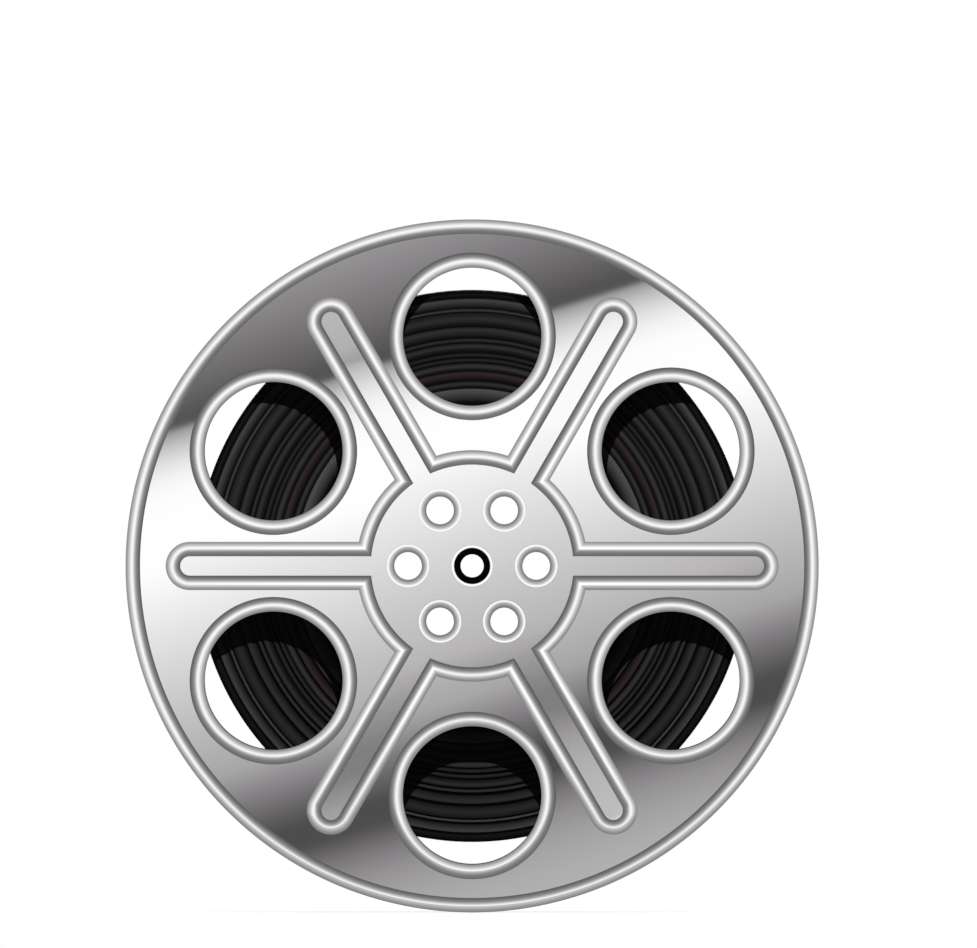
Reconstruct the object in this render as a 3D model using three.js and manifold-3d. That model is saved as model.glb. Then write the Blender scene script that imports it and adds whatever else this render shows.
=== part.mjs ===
// Cinema film reel with a roll of 35 mm film wound on its hub, in millimetres.
// The reel stands upright on its spindle: the axis is Y, the front face looks towards -Y,
// Z is up, and the origin is the centre of the reel.
//
// Two stamped flanges clamp a closed hub drum. Six flared tie tubes and a spindle sleeve hold
// the stack together. The reel turns on a pair of flanged bushes joined by a tube.

import * as THREE from 'three';
import { mergeVertices } from 'three/addons/utils/BufferGeometryUtils.js';
import Module from 'manifold-3d';

const wasm = await Module();
wasm.setup();

// ---- Overall sizes ----
const reelRadius = 127; // 10 in across
const filmWidth = 35;
const filmSideClearance = 1.5; // film edge to flange
const emptyChannel = 20.5; // film's outer turn to the inside of the rim

// ---- Flange ----
const sheet = 1.1;
const beadWidth = 5.3;
const beadHeight = 2;
const beadCrestHalf = 0.75; // flat top of a pressed bead
const armCount = 6;
const starHubRadius = 39.8; // middle of the star bead round the hub
const armHalfWidth = 6.2; // arm's axis to the middle of its bead
const armTipLand = 9.4; // arm's outer end to the rim
const windowRimLand = 6.9; // window's rolled edge to the rim
const windowArmLand = 2.5; // window's rolled edge to the arm beside it

// ---- Spindle fit ----
const spindleBore = 4.25;
const bushWall = 1.5;
const bushLength = 12;
const bushHeadHeight = 0.9;
const bushHeadOverhang = 0.75;
const runningClearance = 0.25;
const sleeveWall = 0.6;
const sleeveLipWidth = 0.78;
const sleeveLipRound = 0.3;
const pocketDepth = 1.2;

// ---- Tie tubes ----
const tieBore = 5.1;
const tieWall = 0.8;
const tieLipWidth = 2.7; // bore to the lip's edge
const tieLipRound = 0.6;
const tieFlareBend = 1.4; // bore to the bend in the flare
const tieFlareDip = 0.34; // lip's crest to the bend in the flare
const lipHeight = 1.7; // how far a flared lip stands off the flange
const tieLand = 5.85; // tie tube's lip to the star bead

// ---- Hub drum ----
const drumWall = 1.2;
const drumHeadThickness = 1.5;
const drumHeadSkirt = 4.5;
const filmSlotWidth = 3;
const filmSlotMargin = 1; // slot's end to the film's edge
const filmSlotAngle = degrees(256.4); // places the clip, by weight, straight below the spindle

// ---- Film clip ----
const pinRadius = 1.5;
const clipBarrelWall = 1;
const clipThickness = 1.2;
const clipSideClearance = 1; // clip's end to the skirt of a drum head
const clipPivotInset = 5.1; // drum's inner wall to the pin's axis
const clipFingerAhead = degrees(8); // past the slot
const clipPivotBehind = degrees(14.5);
const clipRootArc = degrees(4);
const springWire = 0.8;

// ---- Film ----
const lapThickness = 0.6; // the loose outer turns
const lapEndGap = degrees(0.4);
const tailAngle = degrees(300);
const tapeThickness = 0.3;
const tapeWidth = 19;
const tapeHalfArc = degrees(11);

// ---- Gap between pieces that touch on a round or turned surface ----
const seatGap = 0.3;

// ---- Facets ----
const rimFacets = 60;
const drumFacets = 48;
const windowFacets = 24;
const sleeveFacets = 20;
const tubeFacets = 12;
const beadSteps = 3; // round a rolled edge
const arcSteps = 2; // half the facets of each arc in the star
const beadBevels = 2; // on each slope of the star bead
const hollowBevels = 1;
const fingerFacets = 6;
const rootFacets = 2;
const tapeFacets = 6;

// ---- Sizes that follow ----
const innerFace = filmWidth / 2 + filmSideClearance;
const outerFace = innerFace + sheet;
const halfBead = beadWidth / 2;
const rimInner = reelRadius - beadWidth;
const armPitch = (2 * Math.PI) / armCount;

const hubFlatRadius = starHubRadius - halfBead;
const armTipRadius = rimInner - armTipLand - armHalfWidth - halfBead;
const windowReach = rimInner - windowRimLand;
const windowArmReach = armHalfWidth + halfBead + windowArmLand;
const windowSine = Math.sin(armPitch / 2);
const windowOuter = (windowReach * windowSine - windowArmReach) / (1 + windowSine);
const windowInner = windowOuter - beadWidth;
const windowCircle = windowReach - windowOuter;

const bushRadius = spindleBore + bushWall;
const bushHeadRadius = bushRadius + bushHeadOverhang;
const sleeveBore = bushRadius + runningClearance;
const sleeveRadius = sleeveBore + sleeveWall;
const pocketRadius = bushHeadRadius + seatGap;
const sleeveLipRadius = pocketRadius + sleeveLipWidth;
const sleeveHole = sleeveRadius + seatGap;
const lipTop = outerFace + lipHeight;
const pocketFloor = lipTop - pocketDepth;
const bushSeat = pocketFloor + seatGap;
const bushTop = bushSeat + bushHeadHeight;

const tieRadius = tieBore + tieWall;
const tieLipRadius = tieBore + tieLipWidth;
const tieHole = tieRadius + seatGap;
const tieCircle = hubFlatRadius - tieLand - tieLipRadius;

const drumRadius = hubFlatRadius - seatGap;
const drumBore = drumRadius - drumWall;
const headRadius = drumBore - seatGap;
const headInner = innerFace - drumHeadThickness;
const headSkirtBore = headRadius - drumHeadThickness;
const headSkirtEnd = headInner - drumHeadSkirt;

const clipPivotRadius = drumBore - clipPivotInset;
const clipPivotAngle = filmSlotAngle + clipPivotBehind;
const clipBore = pinRadius + seatGap;
const clipBarrelRadius = clipBore + clipBarrelWall;
const clipOuter = drumBore - seatGap;
const clipHalfLength = headSkirtEnd - clipSideClearance;

const rollBore = drumRadius + seatGap;
const lapOuter = rimInner - emptyChannel;
const lapInner = lapOuter - lapThickness;
const rollRadius = lapInner - seatGap;
const tapeInner = lapOuter + seatGap;

// ---- Shapes ----

function degrees(angle) {
  return (angle * Math.PI) / 180;
}

/** A point at a radius and an angle, as [x, z]. */
function polar(radius, angle) {
  return [radius * Math.cos(angle), radius * Math.sin(angle)];
}

/** The angles of the arms, or of the windows when they are turned by half a pitch. */
function angles(turn = 0) {
  return Array.from({ length: armCount }, (_, i) => (i + turn) * armPitch);
}

/** Points along an arc of the face plane. */
function arc(radius, from, to, steps, [x, y] = [0, 0]) {
  return Array.from({ length: steps + 1 }, (_, i) => {
    const [dx, dy] = polar(radius, from + ((to - from) * i) / steps);
    return new THREE.Vector2(x + dx, y + dy);
  });
}

/** A full circle of the face plane, without its repeated last point. */
function circle(radius, facets, centre) {
  return arc(radius, 0, 2 * Math.PI, facets, centre).slice(0, -1);
}

/** A closed profile of [radius, y] points turned about an axis along Y at [x, z]. */
function turned(profile, facets, [x, z] = [0, 0]) {
  const points = profile.map(([radius, y]) => new THREE.Vector2(radius, y));
  if (THREE.ShapeUtils.isClockWise(points)) points.reverse();
  return new THREE.LatheGeometry([...points, points[0]], facets).translate(x, 0, z);
}

/** A profile given for the end at +Y, carried round to the same end at -Y. */
function bothEnds(profile) {
  const mirrored = profile.map(([radius, y]) => [radius, -y]).reverse();
  return [...profile, ...mirrored];
}

/** A profile laid on one side of the reel: -1 is the front, 1 is the rear. */
function onSide(side, profile) {
  return profile.map(([radius, y]) => [radius, side * y]);
}

/** A shape of the face plane extruded outwards on one side, from one distance to another. */
function extruded(shape, side, from, to, bevel = {}) {
  const options = { depth: to - from, bevelEnabled: false, curveSegments: arcSteps, ...bevel };
  const geometry = new THREE.ExtrudeGeometry(shape, options).translate(0, 0, from);
  return geometry.rotateX((-side * Math.PI) / 2);
}

/** A curved band of the face plane, this wide on each side of the reel's mid-plane. */
function band(inner, outer, from, to, steps, halfWidth) {
  const outline = [...arc(outer, from, to, steps), ...arc(inner, to, from, steps)];
  return extruded(new THREE.Shape(outline), -1, -halfWidth, halfWidth);
}

// ---- Solids ----

/** A closed geometry as a solid that can be joined and cut. */
function solid(geometry) {
  const bare = geometry.clone();
  bare.deleteAttribute('normal');
  bare.deleteAttribute('uv');
  const merged = mergeVertices(bare);
  const mesh = new wasm.Mesh({
    numProp: 3,
    vertProperties: merged.attributes.position.array,
    triVerts: new Uint32Array(merged.index.array),
  });
  return new wasm.Manifold(mesh);
}

/** A solid's surface as a geometry. */
function surface(body) {
  const mesh = body.getMesh();
  const geometry = new THREE.BufferGeometry();
  geometry.setAttribute('position', new THREE.BufferAttribute(mesh.vertProperties, 3));
  geometry.setIndex(new THREE.BufferAttribute(mesh.triVerts, 1));
  geometry.computeVertexNormals();
  return geometry;
}

/** The first geometry with the added ones joined on and the cut ones taken away. */
function combined(base, added, cut) {
  const whole = added.reduce((body, geometry) => body.add(solid(geometry)), solid(base));
  return surface(cut.reduce((body, geometry) => body.subtract(solid(geometry)), whole));
}

// ---- Flange ----

/** The star's outline at a distance outside the middle of its bead. */
function starOutline(path, offset) {
  const hub = starHubRadius + offset;
  const half = armHalfWidth + offset;
  const corner = Math.asin(half / hub);
  for (const angle of angles()) {
    const [x, y] = polar(armTipRadius, angle);
    path.absarc(x, y, half, angle - Math.PI / 2, angle + Math.PI / 2);
    path.absarc(0, 0, hub, angle + corner, angle + armPitch - corner);
  }
  path.closePath();
  return path;
}

/** A ring along the star, this wide on each side of its middle. */
function starRing(half) {
  const shape = starOutline(new THREE.Shape(), half);
  shape.holes.push(starOutline(new THREE.Path(), -half));
  return shape;
}

/** The section of a rolled edge: flat at the film's side and half round outside. */
function rolledEdge(inner, outer) {
  const middle = (inner + outer) / 2;
  const half = (outer - inner) / 2;
  const round = Array.from({ length: beadSteps + 1 }, (_, i) => {
    const turn = (Math.PI * i) / beadSteps;
    return [middle + half * Math.cos(turn), outerFace + beadHeight * Math.sin(turn)];
  });
  return [[inner, innerFace], [outer, innerFace], ...round];
}

/** The flat sheet with its window, tie tube and sleeve holes. */
function flangeSheet() {
  const shape = new THREE.Shape(circle(rimInner + halfBead, rimFacets));
  const cutHole = (radius, facets, centre) =>
    shape.holes.push(new THREE.Path(circle(radius, facets, centre)));
  for (const angle of angles(0.5)) {
    cutHole(windowInner + halfBead, windowFacets, polar(windowCircle, angle));
  }
  for (const angle of angles()) cutHole(tieHole, tubeFacets, polar(tieCircle, angle));
  cutHole(sleeveHole, sleeveFacets);
  return shape;
}

/** A stamped flange: sheet, rolled rim, rolled window edges and the hollow star bead. */
function flange(side) {
  const rim = turned(onSide(side, rolledEdge(rimInner, reelRadius)), rimFacets);
  const windowEdge = onSide(side, rolledEdge(windowInner, windowOuter));
  const windowEdges = angles(0.5).map((angle) =>
    turned(windowEdge, windowFacets, polar(windowCircle, angle)),
  );
  const bead = extruded(starRing(beadCrestHalf), side, innerFace, outerFace, {
    bevelEnabled: true,
    bevelThickness: beadHeight,
    bevelSize: halfBead - beadCrestHalf,
    bevelSegments: beadBevels,
  });
  const hollowHalf = halfBead - sheet;
  const hollow = extruded(starRing(hollowHalf / 2), side, innerFace, outerFace, {
    bevelEnabled: true,
    bevelThickness: beadHeight - sheet,
    bevelSize: hollowHalf / 2,
    bevelSegments: hollowBevels,
  });
  // A plate with a corner past each arm trims the bead's slope off the film's side.
  const plate = new THREE.Shape(circle(reelRadius, armCount));
  const inside = extruded(plate, side, innerFace - 2 * beadHeight, innerFace);
  const base = extruded(flangeSheet(), side, innerFace, outerFace);
  return combined(base, [rim, ...windowEdges, bead], [inside, hollow]);
}

// ---- Spindle ----

/** The sleeve through the hub, with a lip at each end that holds a bush head in a pocket. */
function spindleSleeve() {
  const profile = [
    [sleeveBore, pocketFloor],
    [pocketRadius, pocketFloor],
    [pocketRadius, lipTop],
    [sleeveLipRadius - sleeveLipRound, lipTop],
    [sleeveLipRadius, lipTop - sleeveLipRound],
    [sleeveLipRadius, outerFace],
    [sleeveRadius, outerFace],
  ];
  return turned(bothEnds(profile), sleeveFacets);
}

/** A flanged bush that slips into the sleeve from one side. */
function spindleBush(side) {
  const profile = [
    [spindleBore, bushSeat + bushHeadHeight - bushLength],
    [bushRadius, bushSeat + bushHeadHeight - bushLength],
    [bushRadius, bushSeat],
    [bushHeadRadius, bushSeat],
    [bushHeadRadius, bushTop],
    [spindleBore, bushTop],
  ];
  return turned(onSide(side, profile), sleeveFacets);
}

/** The tube between the two bushes. */
function bushTube() {
  const end = bushTop - bushLength;
  return turned(bothEnds([[spindleBore, end], [bushRadius, end]]), sleeveFacets);
}

// ---- Hub ----

/** A hollow tie tube, flared at both ends over the flanges. */
function tieTube(centre) {
  const profile = [
    [tieBore, outerFace],
    [tieBore + tieFlareBend, lipTop - tieFlareDip],
    [tieLipRadius - tieLipRound, lipTop],
    [tieLipRadius, lipTop - tieLipRound],
    [tieLipRadius, outerFace],
    [tieRadius, outerFace],
  ];
  return turned(bothEnds(profile), tubeFacets, centre);
}

/** The rolled core that the film winds on, with the slot for the film's inner end. */
function hubDrum() {
  const wall = turned(bothEnds([[drumRadius, innerFace], [drumBore, innerFace]]), drumFacets);
  const length = filmWidth - 2 * filmSlotMargin;
  const slot = new THREE.BoxGeometry(3 * drumWall, length, filmSlotWidth);
  slot.translate((drumRadius + drumBore) / 2, 0, 0).rotateY(-filmSlotAngle);
  return combined(wall, [], [slot]);
}

/** A disc with a skirt that closes one end of the drum. */
function drumHead(side) {
  const profile = [
    [sleeveHole, headInner],
    [headSkirtBore, headInner],
    [headSkirtBore, headSkirtEnd],
    [headRadius, headSkirtEnd],
    [headRadius, innerFace],
    [sleeveHole, innerFace],
  ];
  const holes = angles().map((angle) =>
    turned(
      bothEnds([[0, innerFace + sheet], [tieHole, innerFace + sheet]]),
      tubeFacets,
      polar(tieCircle, angle),
    ),
  );
  return combined(turned(onSide(side, profile), drumFacets), [], holes);
}

// ---- Film clip ----

const clipPivot = polar(clipPivotRadius, clipPivotAngle);

/** The lever that presses the film's end against the drum behind its slot. */
function filmClip() {
  const barrelEnds = bothEnds([[clipBarrelRadius, clipHalfLength], [clipBore, clipHalfLength]]);
  const barrel = turned(barrelEnds, tubeFacets, clipPivot);
  const tip = filmSlotAngle - clipFingerAhead;
  const finger = [clipOuter - clipThickness, clipOuter, tip, clipPivotAngle, fingerFacets];
  const rootInner = clipPivotRadius + clipBore + clipBarrelWall / 2;
  const rootTip = clipPivotAngle - clipRootArc;
  const root = [rootInner, clipOuter, rootTip, clipPivotAngle, rootFacets];
  return combined(barrel, [band(...finger, clipHalfLength), band(...root, clipHalfLength)], []);
}

/** The pin that the clip swings on, held between the two drum heads. */
function clipPin() {
  return turned(bothEnds([[pinRadius, headInner], [0, headInner]]), tubeFacets, clipPivot);
}

/** The coil on the pin beside the clip, at its outer shape. */
function clipSpring() {
  const from = clipHalfLength + seatGap;
  const to = headInner - seatGap;
  const profile = [[clipBore, from], [clipBore + springWire, from]];
  const far = [[clipBore + springWire, to], [clipBore, to]];
  return turned([...profile, ...far], tubeFacets, clipPivot);
}

// ---- Film ----

/** The wound roll, inside its last turns. */
function filmRoll() {
  const half = filmWidth / 2;
  return turned(bothEnds([[rollRadius, half], [rollBore, half]]), drumFacets);
}

/** The last turns, open by a hair where the film ends. */
function filmOuterLap() {
  const from = tailAngle + lapEndGap / 2;
  const to = tailAngle + 2 * Math.PI - lapEndGap / 2;
  return band(lapInner, lapOuter, from, to, drumFacets, filmWidth / 2);
}

/** The strip of tape over the film's outer end. */
function tailTape() {
  const ends = [tailAngle - tapeHalfArc, tailAngle + tapeHalfArc];
  return band(tapeInner, tapeInner + tapeThickness, ...ends, tapeFacets, tapeWidth / 2);
}

// ---- Finishes ----

function finish(color, roughness, metalness) {
  return new THREE.MeshStandardMaterial({ color, roughness, metalness });
}

const polished = finish(0xc8c6c8, 0.18, 1);
const bright = finish(0xe6e6e8, 0.12, 1);
const plainSteel = finish(0x9a9a9c, 0.4, 1);
const blackNylon = finish(0x0c0c0d, 0.5, 0);
const film = finish(0x14120f, 0.35, 0);
const tape = finish(0xd8d2c0, 0.7, 0);

// ---- Assembly ----

const reel = new THREE.Group();

function place(name, geometry, material) {
  const mesh = new THREE.Mesh(geometry, material);
  mesh.name = name;
  reel.add(mesh);
}

for (const [name, side] of [['front', -1], ['rear', 1]]) {
  place(`${name}_flange`, flange(side), polished);
  place(`${name}_drum_head`, drumHead(side), plainSteel);
  place(`${name}_spindle_bush`, spindleBush(side), blackNylon);
}
for (const [i, angle] of angles().entries()) {
  place(`tie_tube_${i + 1}`, tieTube(polar(tieCircle, angle)), bright);
}
place('spindle_sleeve', spindleSleeve(), bright);
place('bush_tube', bushTube(), plainSteel);
place('hub_drum', hubDrum(), plainSteel);
place('film_clip', filmClip(), plainSteel);
place('clip_pin', clipPin(), plainSteel);
place('clip_spring', clipSpring(), plainSteel);
place('film_roll', filmRoll(), film);
place('film_outer_lap', filmOuterLap(), film);
place('tail_tape', tailTape(), tape);

export default reel;
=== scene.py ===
"""Fine surfaces, finishes and studio for a cinema film reel with film wound on it.

The reel stands upright in the frame of its construction: the spindle axis is Y, the front face
looks towards -Y and Z is up. Lengths are in metres. A place on a face is (x, z); a depth is
measured from the middle of the reel out through either face.
"""

import logging
import math
import random
from dataclasses import dataclass, field
from enum import Enum
from functools import partial
from typing import Callable, Sequence

import bmesh
import bpy
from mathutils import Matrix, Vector
from mathutils.geometry import tessellate_polygon


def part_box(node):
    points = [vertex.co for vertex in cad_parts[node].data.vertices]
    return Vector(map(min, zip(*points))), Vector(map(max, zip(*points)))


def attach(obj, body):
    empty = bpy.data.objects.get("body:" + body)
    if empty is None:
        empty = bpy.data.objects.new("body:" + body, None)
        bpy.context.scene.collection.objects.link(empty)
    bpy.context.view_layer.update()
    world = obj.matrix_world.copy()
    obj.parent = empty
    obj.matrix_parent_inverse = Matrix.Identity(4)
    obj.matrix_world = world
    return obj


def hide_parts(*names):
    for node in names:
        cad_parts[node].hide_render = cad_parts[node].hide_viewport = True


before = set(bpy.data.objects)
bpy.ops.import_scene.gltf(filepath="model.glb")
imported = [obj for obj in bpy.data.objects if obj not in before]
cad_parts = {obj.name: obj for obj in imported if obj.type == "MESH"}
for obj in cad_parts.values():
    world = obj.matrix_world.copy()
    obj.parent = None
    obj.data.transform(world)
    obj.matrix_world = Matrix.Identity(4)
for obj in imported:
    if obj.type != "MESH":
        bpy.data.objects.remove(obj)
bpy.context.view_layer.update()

MM = 0.001
TURN = 2 * math.pi

Place = tuple[float, float]
Band = tuple[float, float]
Loop = list[Place]
Profile = list[Place]
Ring = list[int]
Colour = tuple[float, float, float]

log = logging.getLogger("reel")


class Side(Enum):
    """The two faces of the reel, by the direction of Y that they look in."""

    FRONT = -1
    REAR = 1

    @property
    def label(self) -> str:
        """The word that starts the names of this side's pieces."""
        return self.name.lower()


class Body(Enum):
    """The moving bodies that pieces ride on."""

    BUSH = "spindle_bush"
    REEL = "reel"
    CLIP = "film_clip"


class TreeEnd(Enum):
    """The node that ends each kind of shader tree."""

    MATERIAL = "ShaderNodeOutputMaterial"
    WORLD = "ShaderNodeOutputWorld"
    LAMP = "ShaderNodeOutputLight"


# ---------------------------------------------------------------- shader maths


class Socket:
    """A shader value that takes part in Python arithmetic by adding Math nodes."""

    def __init__(self, shader: "Shader", output: bpy.types.NodeSocket) -> None:
        """Wraps one output of a node.

        Args:
            shader: The tree that the output belongs to.
            output: The output itself.
        """
        self.shader = shader
        self.output = output

    def __add__(self, other: "Value") -> "Socket":
        """This plus the other."""
        return self.shader.math("ADD", self, other)

    __radd__ = __add__

    def __mul__(self, other: "Value") -> "Socket":
        """This times the other."""
        return self.shader.math("MULTIPLY", self, other)

    __rmul__ = __mul__

    def __sub__(self, other: "Value") -> "Socket":
        """This less the other."""
        return self.shader.math("SUBTRACT", self, other)

    def __rsub__(self, other: "Value") -> "Socket":
        """The other less this."""
        return self.shader.math("SUBTRACT", other, self)

    def __truediv__(self, other: "Value") -> "Socket":
        """This over the other."""
        return self.shader.math("DIVIDE", self, other)

    def __rtruediv__(self, other: "Value") -> "Socket":
        """The other over this."""
        return self.shader.math("DIVIDE", other, self)

    def __pow__(self, other: "Value") -> "Socket":
        """This to the power of the other."""
        return self.shader.math("POWER", self, other)

    def __rpow__(self, other: "Value") -> "Socket":
        """The other to the power of this."""
        return self.shader.math("POWER", other, self)

    def __abs__(self) -> "Socket":
        """The size of this without its sign."""
        return self.shader.math("ABSOLUTE", self)

    def band(self, low: float, high: float) -> "Socket":
        """A smooth step.

        Args:
            low: The value at which the step is 0.
            high: The value at which the step is 1.

        Returns:
            A socket from 0 to 1.
        """
        settings = {"interpolation_type": "SMOOTHSTEP", "clamp": True}
        values = {"Value": self, "From Min": low, "From Max": high}
        return self.shader.out(self.shader.node("ShaderNodeMapRange", settings, values), "Result")


Value = Socket | float | tuple[float, ...]


class Shader:
    """A node tree, with a short way to add each kind of node."""

    def __init__(self, tree: bpy.types.NodeTree) -> None:
        """Empties the tree.

        Args:
            tree: The node tree of a material, a world or a lamp.
        """
        self.tree = tree
        tree.nodes.clear()

    def node(
        self,
        kind: str,
        settings: dict[str, object] | None = None,
        values: dict[str | int, Value] | None = None,
    ) -> bpy.types.Node:
        """Adds a node.

        Args:
            kind: The node's type.
            settings: Its properties, which are set first.
            values: A value or a link for each input, by name or number.

        Returns:
            The node.
        """
        node = self.tree.nodes.new(kind)
        for name, setting in (settings or {}).items():
            setattr(node, name, setting)
        for name, value in (values or {}).items():
            if isinstance(value, Socket):
                self.tree.links.new(value.output, node.inputs[name])
            else:
                node.inputs[name].default_value = value
        return node

    def out(self, node: bpy.types.Node, name: str | int = 0) -> Socket:
        """An output of a node, ready for arithmetic."""
        return Socket(self, node.outputs[name])

    def math(self, operation: str, first: Value, second: Value = 0.0) -> Socket:
        """The result of one Math node."""
        values = {0: first, 1: second}
        return self.out(self.node("ShaderNodeMath", {"operation": operation}, values))

    def length(self, vector: Value) -> Socket:
        """The length of a vector."""
        node = self.node("ShaderNodeVectorMath", {"operation": "LENGTH"}, {0: vector})
        return self.out(node, "Value")

    def mix(self, factor: Value, first: Value, second: Value) -> Socket:
        """A colour between two colours.

        Args:
            factor: 0 for the first, 1 for the second.
            first: A colour or a link.
            second: A colour or a link.

        Returns:
            The mixed colour.
        """
        ends = [(*end, 1) if isinstance(end, tuple) else end for end in (first, second)]
        values = {0: factor, 6: ends[0], 7: ends[1]}
        return self.out(self.node("ShaderNodeMix", {"data_type": "RGBA"}, values), 2)

    def place(self) -> Socket:
        """The point on the piece, in the frame that the piece was drawn in."""
        return self.out(self.node("ShaderNodeTexCoord"), "Object")

    def split(self, vector: Socket) -> tuple[Socket, Socket, Socket]:
        """The three parts of a vector."""
        node = self.node("ShaderNodeSeparateXYZ", values={0: vector})
        return self.out(node, 0), self.out(node, 1), self.out(node, 2)

    def join(self, x: Value, y: Value, z: Value) -> Socket:
        """A vector from its three parts."""
        return self.out(self.node("ShaderNodeCombineXYZ", values={0: x, 1: y, 2: z}))

    def noise(self, vector: Value, scale: float, detail: float = 2.0) -> Socket:
        """Smooth noise from 0 to 1.

        Args:
            vector: Where to read it.
            scale: How many blotches fit in a unit of length.
            detail: How many finer layers are added.

        Returns:
            The noise.
        """
        values = {"Vector": vector, "Scale": scale, "Detail": detail}
        return self.out(self.node("ShaderNodeTexNoise", values=values), 0)

    def attribute(self, name: str) -> Socket:
        """A value that the mesh carries."""
        return self.out(self.node("ShaderNodeAttribute", {"attribute_name": name}), "Fac")

    def bump(self, height: Socket, strength: float, distance: float) -> Socket:
        """A normal from a height.

        Args:
            height: The height from 0 to 1.
            strength: How much of it shows.
            distance: What a height of 1 stands for.

        Returns:
            The bumped normal.
        """
        values = {"Height": height, "Strength": strength, "Distance": distance}
        return self.out(self.node("ShaderNodeBump", values=values))

    def principled(self, values: dict[str, Value]) -> bpy.types.Node:
        """A surface with a value or a link for each named input."""
        return self.node("ShaderNodeBsdfPrincipled", values=values)

    def glow(self, colour: Value, strength: Value = 1.0) -> bpy.types.Node:
        """A surface that gives off light of a colour."""
        return self.node("ShaderNodeEmission", values={"Color": colour, "Strength": strength})

    def blend(self, share: Value, first: bpy.types.Node, second: bpy.types.Node) -> bpy.types.Node:
        """A surface between two surfaces.

        Args:
            share: 0 for the first, 1 for the second.
            first: A surface.
            second: A surface.

        Returns:
            The blended surface.
        """
        values = {0: share, 1: self.out(first), 2: self.out(second)}
        return self.node("ShaderNodeMixShader", values=values)

    def end(self, shader: bpy.types.Node, kind: TreeEnd = TreeEnd.MATERIAL) -> None:
        """Ends the tree with a surface, a background or a lamp's glow."""
        self.node(kind.value, values={"Surface": self.out(shader)})


def new_material(name: str) -> tuple[bpy.types.Material, Shader]:
    """A material with an empty tree.

    Args:
        name: The material's name.

    Returns:
        The material, and the shader helper for its nodes.
    """
    material = bpy.data.materials.new(name)
    material.use_nodes = True
    return material, Shader(material.node_tree)


def light_of(grey: Socket) -> Socket:
    """The light that a display shows as a grey, which isn't near black."""
    return ((grey + 0.055) / 1.055) ** 2.4


# ---------------------------------------------------------------- finishes


@dataclass(frozen=True)
class Finish:
    """A named finish, which makes its own material."""

    name: str

    def shade(self, shader: Shader) -> bpy.types.Node:
        """Adds the finish's nodes.

        Args:
            shader: The tree to add them to.

        Returns:
            The finish's surface.
        """
        raise NotImplementedError

    def material(self) -> bpy.types.Material:
        """Makes the material.

        Returns:
            The finished material.
        """
        material, shader = new_material(self.name)
        shader.end(self.shade(shader))
        return material


@dataclass(frozen=True)
class PolishedMetal(Finish):
    """Buffed sheet: near-mirror, faint buffing haze, dust and painted crease shade at bead feet."""

    colour: Colour = (0.9, 0.893, 0.897)
    roughness: float = 0.02
    smear_scale: float = 14.0
    smear_band: Band = (0.45, 0.8)
    smear_haze: float = 0.012
    tarnish: Colour = (0.8, 0.77, 0.74)
    tarnish_share: float = 0.05
    # dust darkened with painted crease shade, at the foot of each bead
    dust_and_crease_shade: Colour = (0.30, 0.28, 0.27)
    dust_and_shade_scale: float = 260.0
    dust_and_shade_band: Band = (0.35, 0.6)
    dust_and_shade_share: float = 0.35
    grime_roughness: float = 0.2

    def lobe(self, shader: Shader, extra: dict[str, Value]) -> bpy.types.Node:
        """The polished surface.

        Args:
            shader: The tree to add it to.
            extra: More values for its inputs.

        Returns:
            The surface.
        """
        place = shader.place()
        smears = shader.noise(place, self.smear_scale, detail=4.0).band(*self.smear_band)
        # dust specks at a bead's foot, which also carry the painted crease shade
        specks = shader.noise(place, self.dust_and_shade_scale, detail=3.0).band(*self.dust_and_shade_band)
        foot = shader.attribute("foot") * specks
        buffed = shader.mix(smears * self.tarnish_share, self.colour, self.tarnish)
        values = {
            # painted crease shade and dust darken the colour at a bead's foot
            "Base Color": shader.mix(foot * self.dust_and_shade_share, buffed, self.dust_and_crease_shade),
            "Roughness": self.roughness + self.smear_haze * smears + foot * self.grime_roughness,
            "Metallic": 1.0,
        }
        return shader.principled(values | extra)

    def shade(self, shader: Shader) -> bpy.types.Node:
        """The polished surface alone."""
        return self.lobe(shader, {})


@dataclass(frozen=True)
class PressedPanel(PolishedMetal):
    """Polished sheet that its press left partly satin, a little domed and a little askew.

    Attributes:
        satin: The share of the satin surface.
        satin_end: How much more of it there is at the end that the sheet rises towards.
        satin_from: Where that begins, from the spindle axis.
        satin_to: Where it is full.
        satin_roughness: How rough the satin surface is.
        rise: How steeply the sheet leans.
        rise_towards: The angle that it rises towards.
        dome: How fast it falls away from the axis, by the square of the distance.
    """

    satin: float = 0.2
    satin_end: float = 0.3
    satin_from: float = 76 * MM
    satin_to: float = 92 * MM
    satin_roughness: float = 0.35
    rise: float = 0.00494
    rise_towards: float = math.radians(107)
    dome: float = 0.0221

    def shade(self, shader: Shader) -> bpy.types.Node:
        """Adds the finish's nodes.

        Args:
            shader: The tree to add them to.

        Returns:
            The finish's surface.
        """
        x, _, z = shader.split(shader.place())
        along = x * math.cos(self.rise_towards) + z * math.sin(self.rise_towards)
        height = along * self.rise - (x * x + z * z) * self.dome
        polished = self.lobe(shader, {"Normal": shader.bump(height, 1.0, 1.0)})
        brushed = shader.principled(
            {"Base Color": (*self.colour, 1), "Roughness": self.satin_roughness, "Metallic": 1.0}
        )
        share = self.satin + self.satin_end * along.band(self.satin_from, self.satin_to)
        return shader.blend(share, polished, brushed)


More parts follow.
